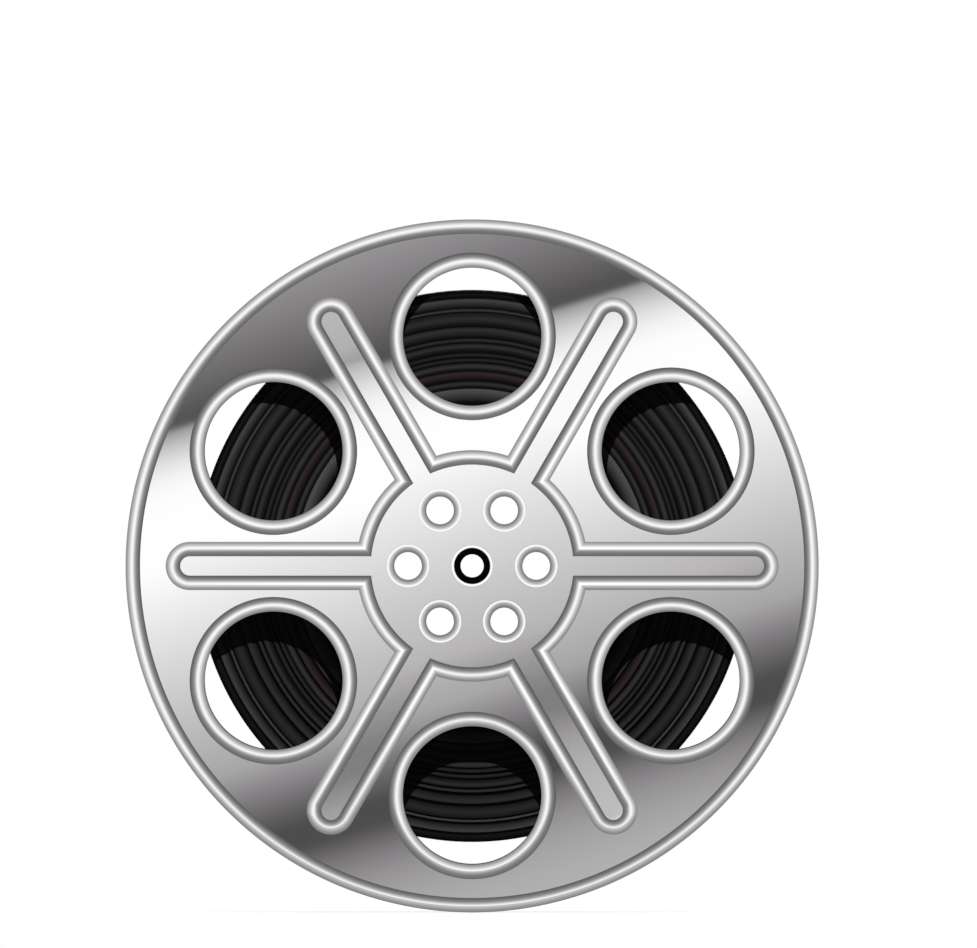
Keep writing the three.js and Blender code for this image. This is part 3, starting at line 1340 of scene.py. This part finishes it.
@dataclass
class FilmRoll:
    """The wound roll, whose sides are uneven groups of turns, with painted light and shade on each
    group.
    """

    seed: int = 35
    groups: tuple[TurnGroup, ...] = (
        TurnGroup(101.1, 0.10, 0.5),
        TurnGroup(97.9, 0.80),
        TurnGroup(94.1, 0.75, 0.45),
        TurnGroup(92.7, 0.36, 0.45),
        TurnGroup(87.4, 0.45, 0.2),
        TurnGroup(83.2, 0.44, 0.3),
        TurnGroup(81.4, 0.42, 0.3),
        TurnGroup(78.0, 0.30, 0.4),
        TurnGroup(76.0, 0.30, 0.4),
        TurnGroup(74.1, 0.50, 0.35),
        TurnGroup(71.2, 0.48, 0.2),
        TurnGroup(67.5, 0.45, 0.3),
        TurnGroup(64.9, 1.15, 0.05),
        TurnGroup(59.5, 0.06, 0.5),
        TurnGroup(54.0, 0.30, 0.3),
        TurnGroup(49.2, 0.24, 0.3),
        TurnGroup(45.5, 0.34, 0.3),
        TurnGroup(41.0, 0.28, 0.3),
    )
    step_depth: float = 0.28 * MM
    uneven: float = 0.25 * MM
    turn_jitter: float = 0.02 * MM
    step: float = 0.26 * MM
    least_steps: int = 6
    around: int = 196
    outer_gap: float = 0.06 * MM
    drum_gap: float = 0.3 * MM
    overhang: float = 0.03
    foot_tone: float = 0.25
    fall_power: float = 1.2
    drop_power: float = 1.5

    def side_points(self, bore: float, outer: float, half: float) -> list[tuple[float, float, float]]:
        """The side's section.

        Args:
            bore: The roll's inner radius.
            outer: Its outer radius.
            half: Half of the film's width.

        Returns:
            Points of (radius, depth, tone), from the outside to the bore.
        """
        chance = random.Random(self.seed)
        edges = [group.outer * MM for group in self.groups[1:]] + [bore]
        points = []
        high = outer
        for group, low in zip(self.groups, edges):
            sunk = self.uneven * chance.random()
            steps = max(self.least_steps, round((high - low) / self.step))
            for i in range(steps):
                t = i / (steps - 1)
                rise = min(t / group.crest, 1.0)
                fall = max(t - group.crest, 0.0) / (1 - group.crest)
                # painted light and shade: the tone rises to the group's crest, then falls to black as
                # the turns sink
                lit = self.foot_tone + (1 - self.foot_tone) * rise
                tone = group.light * lit * (1 - fall) ** self.fall_power
                step = self.step_depth * fall**self.drop_power
                drop = sunk + step + self.turn_jitter * chance.random()
                radius = high - (high - low) * (i + self.overhang) / steps
                points.append((radius, half - drop, tone))
            high = low
        points.append((bore, half - self.uneven, 0.0))
        return points

    def make(self, edges: bpy.types.Material) -> bpy.types.Object:
        """Builds and dresses the roll.

        Args:
            edges: The finish of its sides.

        Returns:
            The roll.
        """
        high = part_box("film_roll")[1]
        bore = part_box("hub_drum")[1].x + self.drum_gap
        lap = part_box("film_outer_lap")[1]
        outer = (high.x + lap.x) / 2 - self.outer_gap
        points = self.side_points(bore, outer, high.y)
        # the crown tone carries the painted light and shade of the turns
        draft = Draft("crown")
        rings = []
        tones = []
        for side in Side:
            ordered = points if side is Side.REAR else points[::-1]
            for radius, depth, tone in ordered:
                rings.append(draft.ring(circle(radius, self.around), side.value * depth))
                tones.append(tone)
        for i, ring in enumerate(rings):
            j = (i + 1) % len(rings)
            draft.bridge(ring, rings[j], (tones[i], tones[j]))
        roll = draft.build("wound_film", [edges], sharp=60.0)
        stands_for(roll, "film_roll", Body.REEL)
        return roll


@dataclass
class OuterLap:
    """The last turns of film, perforated along both edges."""

    perforations: int = 132
    hole_across: float = 2.8 * MM
    hole_along: float = 1.98 * MM
    hole_round: float = 0.5 * MM
    hole_inset: float = 2.0 * MM
    band: float = 6.2 * MM
    thickness: float = 0.14 * MM
    tail: float = math.radians(300)
    end_gap: float = math.radians(0.4)
    under_inner: float = 0.6 * MM
    under_outer: float = 0.308 * MM
    under_inset: float = 0.1 * MM
    under_steps: int = 200

    def cell(self, pitch: float, low: float, high: float, hole: Place) -> tuple[Loop, Loop]:
        """The outline of a cell round one perforation, and the perforation's.

        Args:
            pitch: The cell's length along the film.
            low: Its lower edge across the film.
            high: Its upper edge.
            hole: The perforation's middle.

        Returns:
            Two loops of twelve places, as (along, across).
        """
        a, b = self.hole_along / 2, self.hole_across / 2
        r, knee = self.hole_round, self.hole_round * (1 - math.sqrt(0.5))
        left, right = hole[0] - a + r, hole[0] + a - r
        down, up = hole[1] - b + r, hole[1] + b - r
        outer = [
            (0, low), (left, low), (right, low), (pitch, low), (pitch, down), (pitch, up),
            (pitch, high), (right, high), (left, high), (0, high), (0, up), (0, down),
        ]
        x0, x1, y0, y1 = hole[0] - a, hole[0] + a, hole[1] - b, hole[1] + b
        inner = [
            (x0 + knee, y0 + knee), (left, y0), (right, y0), (x1 - knee, y0 + knee),
            (x1, down), (x1, up), (x1 - knee, y1 - knee), (right, y1),
            (left, y1), (x0 + knee, y1 - knee), (x0, up), (x0, down),
        ]
        return outer, inner

    def strip(self, draft: Draft, radius: float, half: float) -> None:
        """Draws the perforated strip.

        Args:
            draft: The mesh.
            radius: The strip's radius.
            half: Half of its width.
        """
        sweep = TURN - self.end_gap
        pitch = sweep * radius / self.perforations
        corners: dict[tuple[float, float], int] = {}

        def corner(along: float, across: float) -> int:
            """Makes the corner at a place on the film once.

            Args:
                along: How far round the film it is.
                across: How far from the film's middle it is.

            Returns:
                The corner's number.
            """
            key = (round(along / MM, 4), round(across / MM, 4))
            if key not in corners:
                x, z = polar(radius, self.tail + self.end_gap / 2 + along / radius)
                corners[key] = len(draft.corners)
                draft.corners.append((x, across, z))
            return corners[key]

        hole = self.hole_inset + self.hole_across / 2
        for i in range(self.perforations):
            start = i * pitch
            for side in Side:
                low, high = sorted((side.value * half, side.value * (half - self.band)))
                middle = (pitch / 2, side.value * (half - hole))
                outer, inner = self.cell(pitch, low, high, middle)
                ring = [corner(start + a, c) for a, c in outer]
                cut = [corner(start + a, c) for a, c in inner]
                draft.bridge(ring, cut)
            edge = half - self.band
            left = pitch / 2 - self.hole_along / 2 + self.hole_round
            marks = (0.0, left, pitch - left, pitch)
            for first, second in zip(marks, marks[1:]):
                quad = [(first, -edge), (second, -edge), (second, edge), (first, edge)]
                draft.face([corner(start + a, c) for a, c in quad], (0.0,) * 4)

    def make(self, base: bpy.types.Material, edges: bpy.types.Material) -> bpy.types.Object:
        """Builds and dresses the outer turns.

        Args:
            base: The finish of the film's faces.
            edges: The finish of its cut edges.

        Returns:
            The outermost turn.
        """
        low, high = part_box("film_outer_lap")
        draft = Draft()
        self.strip(draft, -low.x, high.y)
        strip = draft.build("perforated_outer_film", [base, edges], sharp=50.0)
        thick = strip.modifiers.new("film thickness", "SOLIDIFY")
        thick.thickness = self.thickness
        thick.offset = -1
        thick.material_offset_rim = 1
        stands_for(strip, "film_outer_lap", Body.REEL)
        return strip

    def turn_under(self, edges: bpy.types.Material) -> bpy.types.Object:
        """Builds the turn of film that shows through the perforations.

        Args:
            edges: Its finish.

        Returns:
            The turn.
        """
        low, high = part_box("film_outer_lap")
        half = high.y - self.under_inset
        section = both_ends([(-low.x - self.under_inner, half), (-low.x - self.under_outer, half)])
        turn = turned("last_turn_under", section, self.under_steps, [edges])
        rides(turn, Body.REEL)
        return turn


@dataclass
class TailTape:
    """A strip of paper tape over the film's outer end, with torn ends."""

    seed: int = 7
    along_steps: int = 40
    across_steps: int = 14
    tear: float = 0.9 * MM
    thickness: float = 0.12 * MM
    lift: float = 0.12 * MM
    ripple: float = 0.05 * MM
    ripple_along: float = 9.0
    ripple_across: float = 2.3
    middle: float = OuterLap.tail
    half_arc: float = math.radians(11)

    def make(self, paper: bpy.types.Material) -> bpy.types.Object:
        """Builds and dresses the tape.

        Args:
            paper: Its finish.

        Returns:
            The tape.
        """
        chance = random.Random(self.seed)
        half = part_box("tail_tape")[1].y
        radius = -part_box("film_outer_lap")[0].x + self.lift
        tears = [(chance.random(), chance.random()) for _ in range(self.across_steps + 1)]
        draft = Draft()
        rows = []
        for j, (start, end) in enumerate(tears):
            across = half * (2 * j / self.across_steps - 1)
            low = -self.half_arc + self.tear * start / radius
            high = self.half_arc - self.tear * end / radius
            loop = []
            for i in range(self.along_steps + 1):
                angle = self.middle + low + (high - low) * i / self.along_steps
                wave = self.ripple_along * i + self.ripple_across * j
                ripple = self.ripple * math.sin(wave)
                loop.append(polar(radius + ripple, angle))
            rows.append(draft.ring(loop, across))
        for first, second in zip(rows, rows[1:]):
            draft.bridge(first, second, closed=False)
        tape = draft.build("tail_paper_tape", [paper], sharp=60.0)
        thick = tape.modifiers.new("paper thickness", "SOLIDIFY")
        thick.thickness = self.thickness
        thick.offset = 1
        stands_for(tape, "tail_tape", Body.REEL)
        return tape


# ---------------------------------------------------------------- inside the hub


@dataclass
class HubDrum:
    """The rolled drum with its film slot, and the pressed heads that close it."""

    wall: float = 1.2 * MM
    slot_width: float = 3.0 * MM
    slot_margin: float = 1.0 * MM
    slot_angle: float = math.radians(256.4)
    skirt: float = 4.5 * MM
    bend: float = 1.1 * MM
    bend_steps: int = 6
    steps: int = 180

    def drum(self, steel: bpy.types.Material) -> bpy.types.Object:
        """Builds the drum's wall, pierced by the slot.

        Args:
            steel: Its finish.

        Returns:
            The drum.
        """
        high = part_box("hub_drum")[1]
        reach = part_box("film_roll")[1].y - self.slot_margin
        half_arc = math.asin(self.slot_width / 2 / high.x)
        sweep = (TURN - 2 * half_arc) / self.steps
        turns = [self.slot_angle + half_arc + sweep * i for i in range(self.steps + 1)]
        draft = Draft()
        walls = []
        for radius in (high.x, high.x - self.wall):
            loop = [polar(radius, turn) for turn in turns]
            rings = [draft.ring(loop, y) for y in (-high.y, -reach, reach, high.y)]
            # the slot leaves the middle band open, and the bands beside it close round the drum
            for k in range(3):
                draft.bridge(rings[k], rings[k + 1], closed=k != 1)
            walls.append(rings)
        outer, inner = walls
        for k in (0, 3):
            draft.bridge(outer[k], inner[k])
        slot = [[wall[1][0], wall[2][0], wall[2][-1], wall[1][-1]] for wall in walls]
        draft.bridge(slot[0], slot[1])
        drum = draft.build("rolled_hub_drum", [steel])
        stands_for(drum, "hub_drum", Body.REEL)
        return drum

    def head(self, side: Side, steel: bpy.types.Material) -> bpy.types.Object:
        """Builds one pressed head.

        Args:
            side: The end of the drum that it closes.
            steel: Its finish.

        Returns:
            The head.
        """
        node = f"{side.label}_drum_head"
        low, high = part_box(node)
        near, far = sorted((abs(low.y), abs(high.y)))
        radius = high.x
        floor = near + self.skirt
        bore = radius - (far - floor)
        bends = [math.pi / 2 * i / self.bend_steps for i in range(self.bend_steps + 1)]
        outside = [
            (radius - self.bend * (1 - math.cos(t)), far - self.bend * (1 - math.sin(t)))
            for t in reversed(bends)
        ]
        profile = [*outside, (radius, near), (bore, near), (bore, floor)]
        draft = Draft()
        rings = [draft.ring(circle(r, self.steps), side.value * y) for r, y in profile]
        for first, second in zip(rings, rings[1:]):
            draft.bridge(first, second)
        holes = Flange(side).hub_holes()
        ends = [[draft.ring(hole, side.value * y) for y in (far, floor)] for hole in holes]
        for first, second in ends:
            draft.bridge(first, second)
        draft.fill(rings[0], [first for first, _ in ends])
        draft.fill(rings[-1], [second for _, second in ends])
        head = draft.build(f"pressed_{node}", [steel])
        stands_for(head, node, Body.REEL)
        return head

    def make(self, steel: bpy.types.Material) -> None:
        """Builds the drum and both heads.

        Args:
            steel: Their finish.
        """
        self.drum(steel)
        for side in Side:
            self.head(side, steel)


@dataclass
class FilmClip:
    """The lever that holds the film's inner end, its pin and its coil spring."""

    wall: float = 1.0 * MM
    gap: float = 0.3 * MM
    finger: float = 1.2 * MM
    finger_arc: float = math.radians(22.5)
    root_arc: float = math.radians(6)
    barrel_arc: float = math.radians(315)
    tip_steps: int = 8
    finger_steps: int = 24
    barrel_steps: int = 48
    chamfer: float = 0.25 * MM
    wire: float = 0.39 * MM
    wire_steps: int = 12
    coils: float = 4.75
    coil_steps: int = 40

    def __post_init__(self) -> None:
        """Finds the pin, which everything here is set out from."""
        low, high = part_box("clip_pin")
        self.pin_half = high.y
        self.pin_radius = (high.x - low.x) / 2
        self.pivot = ((low.x + high.x) / 2, (low.z + high.z) / 2)
        self.pivot_radius = math.hypot(*self.pivot)
        self.pivot_angle = math.atan2(self.pivot[1], self.pivot[0])

    def outline(self) -> Loop:
        """The clip's section: a barrel round the pin with a curved finger from its top.

        Returns:
            The closed loop.
        """
        barrel = self.pin_radius + self.gap + self.wall
        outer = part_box("hub_drum")[1].x - HubDrum.wall - self.gap
        inner = outer - self.finger
        tip = self.pivot_angle - self.finger_arc
        middle, half = (outer + inner) / 2, self.finger / 2
        nose = [-math.pi / 2 + math.pi * i / self.tip_steps for i in range(self.tip_steps + 1)]
        loop = [polar(middle + half * math.sin(t), tip - half / middle * math.cos(t)) for t in nose]
        span = self.finger_arc / self.finger_steps
        loop += [polar(outer, tip + span * i) for i in range(1, self.finger_steps + 1)]
        for i in range(self.barrel_steps + 1):
            turn = self.pivot_angle + self.barrel_arc * i / self.barrel_steps
            dx, dz = polar(barrel, turn)
            loop.append((self.pivot[0] + dx, self.pivot[1] + dz))
        root = self.pivot_angle - self.root_arc
        back = (root - tip) / self.finger_steps
        loop += [polar(inner, root - back * i) for i in range(self.finger_steps)]
        return loop

    def lever(self, blued: bpy.types.Material) -> bpy.types.Object:
        """Builds the clip.

        Args:
            blued: Its finish.

        Returns:
            The clip.
        """
        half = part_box("film_clip")[1].y
        bore = circle(self.pin_radius + self.gap, self.barrel_steps, self.pivot)
        draft = Draft()
        sides = [(draft.ring(self.outline(), y), draft.ring(bore, y)) for y in (-half, half)]
        for first, second in zip(*sides):
            draft.bridge(first, second)
        for outline, hole in sides:
            draft.fill(outline, [hole])
        clip = draft.build("curled_film_clip", [blued], sharp=25.0)
        stands_for(clip, "film_clip", Body.CLIP)
        return clip

    def pin(self, steel: bpy.types.Material) -> bpy.types.Object:
        """Builds the pin with chamfered ends.

        Args:
            steel: Its finish.

        Returns:
            The pin.
        """
        draft = Draft()
        narrow = self.pin_radius - self.chamfer
        section = both_ends([(narrow, self.pin_half), (self.pin_radius, self.pin_half - self.chamfer)])
        rings = [draft.ring(circle(r, self.barrel_steps, self.pivot), y) for r, y in section]
        for first, second in zip(rings, rings[1:]):
            draft.bridge(first, second)
        draft.fill(rings[0], [])
        draft.fill(rings[-1], [])
        pin = draft.build("clip_hinge_pin", [steel])
        stands_for(pin, "clip_pin", Body.REEL)
        return pin

    def spring(self, blued: bpy.types.Material) -> bpy.types.Object:
        """Builds the spring as a wound wire.

        Args:
            blued: Its finish.

        Returns:
            The spring.
        """
        low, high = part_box("clip_spring")
        middle = (high.x - low.x) / 2 - self.wire
        start, end = low.y + self.wire, high.y - self.wire
        count = round(self.coils * self.coil_steps)
        draft = Draft()
        rings = []
        for i in range(count + 1):
            turn = TURN * i / self.coil_steps
            y = start + (end - start) * i / count
            ring = []
            for k in range(self.wire_steps):
                round_wire = TURN * k / self.wire_steps
                dx, dz = polar(middle + self.wire * math.cos(round_wire), turn)
                ring.append(len(draft.corners))
                rise = self.wire * math.sin(round_wire)
                draft.corners.append((self.pivot[0] + dx, y + rise, self.pivot[1] + dz))
            rings.append(ring)
        for first, second in zip(rings, rings[1:]):
            draft.bridge(first, second)
        for ring in (rings[0], rings[-1]):
            draft.face(ring, (0.0,) * len(ring))
        spring = draft.build("wound_clip_spring", [blued], sharp=40.0)
        stands_for(spring, "clip_spring", Body.REEL)
        return spring

    def make(self, steel: bpy.types.Material, blued: bpy.types.Material) -> None:
        """Builds the clip, its pin and its spring.

        Args:
            steel: The pin's finish.
            blued: The finish of the clip and the spring.
        """
        self.lever(blued)
        self.pin(steel)
        self.spring(blued)


# ---------------------------------------------------------------- studio


@dataclass
class Studio:
    """The camera, and the white ground that the reel stands on."""

    camera_distance: float = 14.0
    view_width: float = 0.358
    view_right: float = 6.0 * MM
    view_up: float = 33.7 * MM
    white: Colour = (1.0, 1.0, 1.0)

    def __post_init__(self) -> None:
        """Finds the front face, which the studio is set out from."""
        low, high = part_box("front_flange")
        self.face = low.y
        self.ground = low.z
        self.radius = high.x

    def camera(self) -> None:
        """Stands a long lens straight before the front face."""
        data = bpy.data.cameras.new("camera")
        data.sensor_width = 36.0
        data.lens = data.sensor_width * self.camera_distance / self.view_width
        data.clip_end = 3 * self.camera_distance
        camera = bpy.data.objects.new("camera", data)
        camera.location = (self.view_right, self.face - self.camera_distance, self.view_up)
        camera.rotation_euler = (math.radians(90), 0, 0)
        bpy.context.scene.collection.objects.link(camera)
        bpy.context.scene.camera = camera

    def make(self) -> None:
        """Sets up the camera, the room, the card, the key lamp and the floor."""
        self.camera()
        Room().make(self)
        Card().make(self)
        KeyLamp().make()
        Floor().make(self)
        bpy.context.scene.view_settings.view_transform = "Standard"


@dataclass
class Room:
    """The world: white to the eye; to polish, pale ahead and behind and dark round the sides.

    Where something begins and is full is given by the part of a ray's direction that goes ahead,
    or up for the overhead light.

    Attributes:
        fill: The light that unpolished surfaces get from round the sides.
        overhead: How much more they get from above.
        overhead_band: Where that begins and is full.
        slab: Where the light from the sides fades out.
        dim: The least that polish mirrors.
        side_light: How much more it mirrors, evenly as it turns ahead.
        end_light: How much more it mirrors near straight ahead.
        end_power: How late that comes.
        core: How much less it mirrors straight ahead.
        core_edge: Where that begins and is full.
        green: The green in what polish mirrors, as a share of the red and the blue.
    """

    fill: float = 0.9
    overhead: float = 1.0
    overhead_band: Band = (0.2, 1.0)
    slab: Band = (0.1, 0.38)
    dim: float = 0.06
    side_light: float = 0.28
    end_light: float = 0.95
    end_power: float = 9.0
    core: float = 0.55
    core_edge: Band = (0.990, 0.9935)
    green: float = 0.985

    def make(self, studio: Studio) -> None:
        """Makes the world.

        Args:
            studio: The studio that it surrounds.
        """
        world = bpy.data.worlds.new("studio")
        world.use_nodes = True
        bpy.context.scene.world = world
        shader = Shader(world.node_tree)
        ray = shader.node("ShaderNodeLightPath")
        scattered = shader.math("MINIMUM", shader.out(ray, "Diffuse Depth"), 1.0)
        mirrored = shader.out(ray, "Is Glossy Ray") * (1 - scattered)
        seen = shader.out(ray, "Is Camera Ray")
        plain = shader.math("MAXIMUM", seen, shader.out(ray, "Is Transmission Ray"))
        direction = shader.out(shader.node("ShaderNodeTexCoord"), "Generated")
        _, ahead, up = shader.split(direction)
        facing = abs(ahead)
        bright = self.dim + self.side_light * facing + self.end_light * facing**self.end_power
        bright = bright - self.core * facing.band(*self.core_edge)
        above = self.overhead * up.band(*self.overhead_band)
        grey = (1 - facing.band(*self.slab)) * (self.fill + above)
        room = shader.mix(mirrored, grey, shader.join(bright, bright * self.green, bright))
        colour = shader.mix(plain, room, studio.white)
        light = shader.node("ShaderNodeBackground", values={"Color": colour, "Strength": 1.0})
        shader.end(light, TreeEnd.WORLD)


@dataclass
class Card:
    """A card ahead of the reel, which only polished surfaces see.

    Places across it run along its lean, from -1 to 1 over the reel's reflection, and its greys are
    as a display shows them. Going up it there are a pale haze, a dark fold, an even sweep that ends
    in a white crown, and a dark flag with a hard edge.
    """

    distance: float = 1.5
    lean: float = math.radians(107.5)
    margin: float = 1.04
    tint: float = 0.05
    steps: int = 128
    haze: float = 0.43
    haze_soft: float = 0.13
    fold: Band = (-0.63, -0.567)
    fold_grey: float = 0.30
    fold_slope: float = 1.7
    sweep: float = 0.556
    crown: float = 0.39
    crown_fall: float = 0.33
    crown_power: float = 2.9
    flag: Band = (0.627, 0.643)
    flag_grey: float = 0.27
    flag_rise: float = 0.70
    flag_power: float = 0.70

    def open_grey(self, shader: Shader, along: Socket) -> Socket:
        """The grey of the card that the flag doesn't cover.

        Args:
            shader: The card's tree.
            along: The place across the card.

        Returns:
            The grey.
        """
        below = shader.math("MAXIMUM", self.fold[0] - along, 0.0)
        above = shader.math("MAXIMUM", along - self.fold[1], 0.0)
        haze = self.haze * (1 - math.e ** (below / -self.haze_soft))
        rise = shader.math("MINIMUM", self.fold_slope * above, self.sweep * (1 + along))
        past = shader.math("MAXIMUM", along - self.crown, 0.0)
        crown = 1 - (past / self.crown_fall) ** self.crown_power
        return shader.math("MINIMUM", self.fold_grey + haze + rise, crown)

    def grey(self, shader: Shader, along: Socket) -> Socket:
        """The card's grey.

        Args:
            shader: The card's tree.
            along: The place across the card.

        Returns:
            The grey.
        """
        bare = self.open_grey(shader, along)
        covered = shader.math("MAXIMUM", along - self.flag[1], 0.0)
        flag = self.flag_grey + self.flag_rise * covered**self.flag_power
        return bare + (flag - bare) * along.band(*self.flag)

    def make(self, studio: Studio) -> None:
        """Hangs the card.

        Args:
            studio: The studio that it hangs in.
        """
        spread = 1 + self.distance / studio.camera_distance
        reach = studio.radius * spread
        material, shader = new_material("graded_card")
        x, _, z = shader.split(shader.place())
        along = x * (math.cos(self.lean) / reach) + z * (math.sin(self.lean) / reach)
        grey = self.grey(shader, along)
        light = light_of(grey) / PolishedMetal.colour[0]
        green = light * (1 - self.tint * (1 - grey))
        shader.end(shader.glow(shader.join(light, green, light)))
        draft = Draft()
        draft.fill(draft.ring(circle(reach * self.margin, self.steps), 0.0), [])
        card = draft.build("studio_card", [material])
        shift = 1 - spread
        card.location = (studio.view_right * shift, studio.face - self.distance, studio.view_up * shift)
        for ray in ("camera", "diffuse", "shadow", "transmission", "volume_scatter"):
            setattr(card, f"visible_{ray}", False)


@dataclass
class KeyLamp:
    """The key lamp, close above the front of the reel, with a snoot that only lets it see film.

    Attributes:
        height: How far above the spindle axis it hangs.
        ahead: How far in front of the reel's middle.
        power: Its power.
        size: Its radius.
        evenness: Its light makes up for its slant on the film, down to this cosine.
        snoot_margin: How far inside the film's outer edge its pool of light ends.
        snoot_soft: How wide the pool's edge is.
    """

    height: float = 0.262
    ahead: float = 0.127
    power: float = 36.0
    size: float = 0.5 * MM
    evenness: float = 0.42
    snoot_margin: float = 0.5 * MM
    snoot_soft: float = 1.0 * MM

    def make(self) -> None:
        """Hangs the lamp."""
        data = bpy.data.lights.new("key", "POINT")
        data.shadow_soft_size = self.size
        data.energy = self.power
        data.use_nodes = True
        shader = Shader(data.node_tree)
        constant = shader.out(shader.node("ShaderNodeLightFalloff", values={0: 1.0}), "Constant")
        direction = shader.out(shader.node("ShaderNodeTexCoord"), "Normal")
        right, back, up = shader.split(direction)
        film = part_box("film_outer_lap")[1].x - self.snoot_margin
        gap = self.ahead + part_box("film_roll")[0].y
        hit = shader.join(right / back * gap, 0.0, up / back * gap + self.height)
        snoot = 1 - shader.length(hit).band(film - self.snoot_soft, film)
        even = constant / shader.math("MAXIMUM", abs(back), self.evenness) * snoot
        shader.end(shader.glow((1, 1, 1, 1), even), TreeEnd.LAMP)
        lamp = bpy.data.objects.new("key", data)
        lamp.location = (0, -self.ahead, self.height)
        lamp.visible_camera = False
        lamp.visible_glossy = False
        bpy.context.scene.collection.objects.link(lamp)


@dataclass
class Floor:
    """A pale floor that keeps the reel's shadow and fades into the white ground, with a painted shadow
    pool that polish sees.
    """

    radius: float = 0.9
    near: float = 0.315
    half_span: float = 15.0
    glow: float = 0.80
    paper: float = 0.6
    # a painted shadow round the reel, which only polished surfaces see on the floor
    pool_near: float = 0.05
    pool_radius: float = 0.5
    pool_depth: float = 0.5
    pool_grey: float = 0.2

    def make(self, studio: Studio) -> None:
        """Lays the floor.

        Args:
            studio: The studio that it is laid in.
        """
        material, shader = new_material("pale_floor")
        ray = shader.node("ShaderNodeLightPath")
        distance = shader.length(shader.place())
        far = distance.band(self.near, self.radius)
        paper = shader.node("ShaderNodeBsdfDiffuse", values={"Color": (1 - far) * self.paper})
        shine = shader.glow((1, 1, 1, 1), self.glow + (1 - self.glow) * far)
        seen = shader.node(
            "ShaderNodeAddShader", values={0: shader.out(paper), 1: shader.out(shine)}
        )
        # painted shadow: polish sees the floor as clear, darkened with a grey pool near the reel
        veil = (1 - distance.band(self.pool_near, self.pool_radius)) * self.pool_depth
        pool = shader.glow((self.pool_grey, self.pool_grey, self.pool_grey, 1))
        mirrored = shader.blend(veil, shader.node("ShaderNodeBsdfTransparent"), pool)
        shader.end(shader.blend(shader.out(ray, "Is Glossy Ray"), seen, mirrored))
        draft = Draft()
        half = self.half_span
        draft.corners.extend([(-half, -half, 0), (half, -half, 0), (half, half, 0), (-half, half, 0)])
        draft.face(range(4), (0.0,) * 4)
        floor = draft.build("studio_floor", [material])
        floor.location = (0, 0, studio.ground)
        floor.visible_diffuse = False


def main() -> None:
    """Builds and dresses every sub-assembly in order."""
    logging.basicConfig(level=logging.INFO, format="%(name)s: %(message)s")
    polish = PolishedMetal("polished_steel").material()
    satin = PressedPanel("satin_star").material()
    bright = PolishedMetal("bright_steel", (0.93, 0.93, 0.935), 0.06).material()
    steel = RolledSteel("plain_steel", (0.56, 0.56, 0.57)).material()
    blued = RolledSteel("spring_steel", (0.2, 0.22, 0.28), 0.28).material()
    edges = WoundEdges().material()
    Studio().make()
    for side in Side:
        Flange(side).make(polish, satin)
    for number in range(1, Flange.arms + 1):
        TieTube(number).make(bright)
    Spindle().make(bright, BlackNylon().material(), steel)
    FilmRoll().make(edges)
    lap = OuterLap()
    lap.make(FilmBase().material(), edges)
    lap.turn_under(edges)
    TailTape().make(CrepeTape().material())
    HubDrum().make(steel)
    FilmClip().make(steel, blued)


if __name__ == "__main__":
    main()
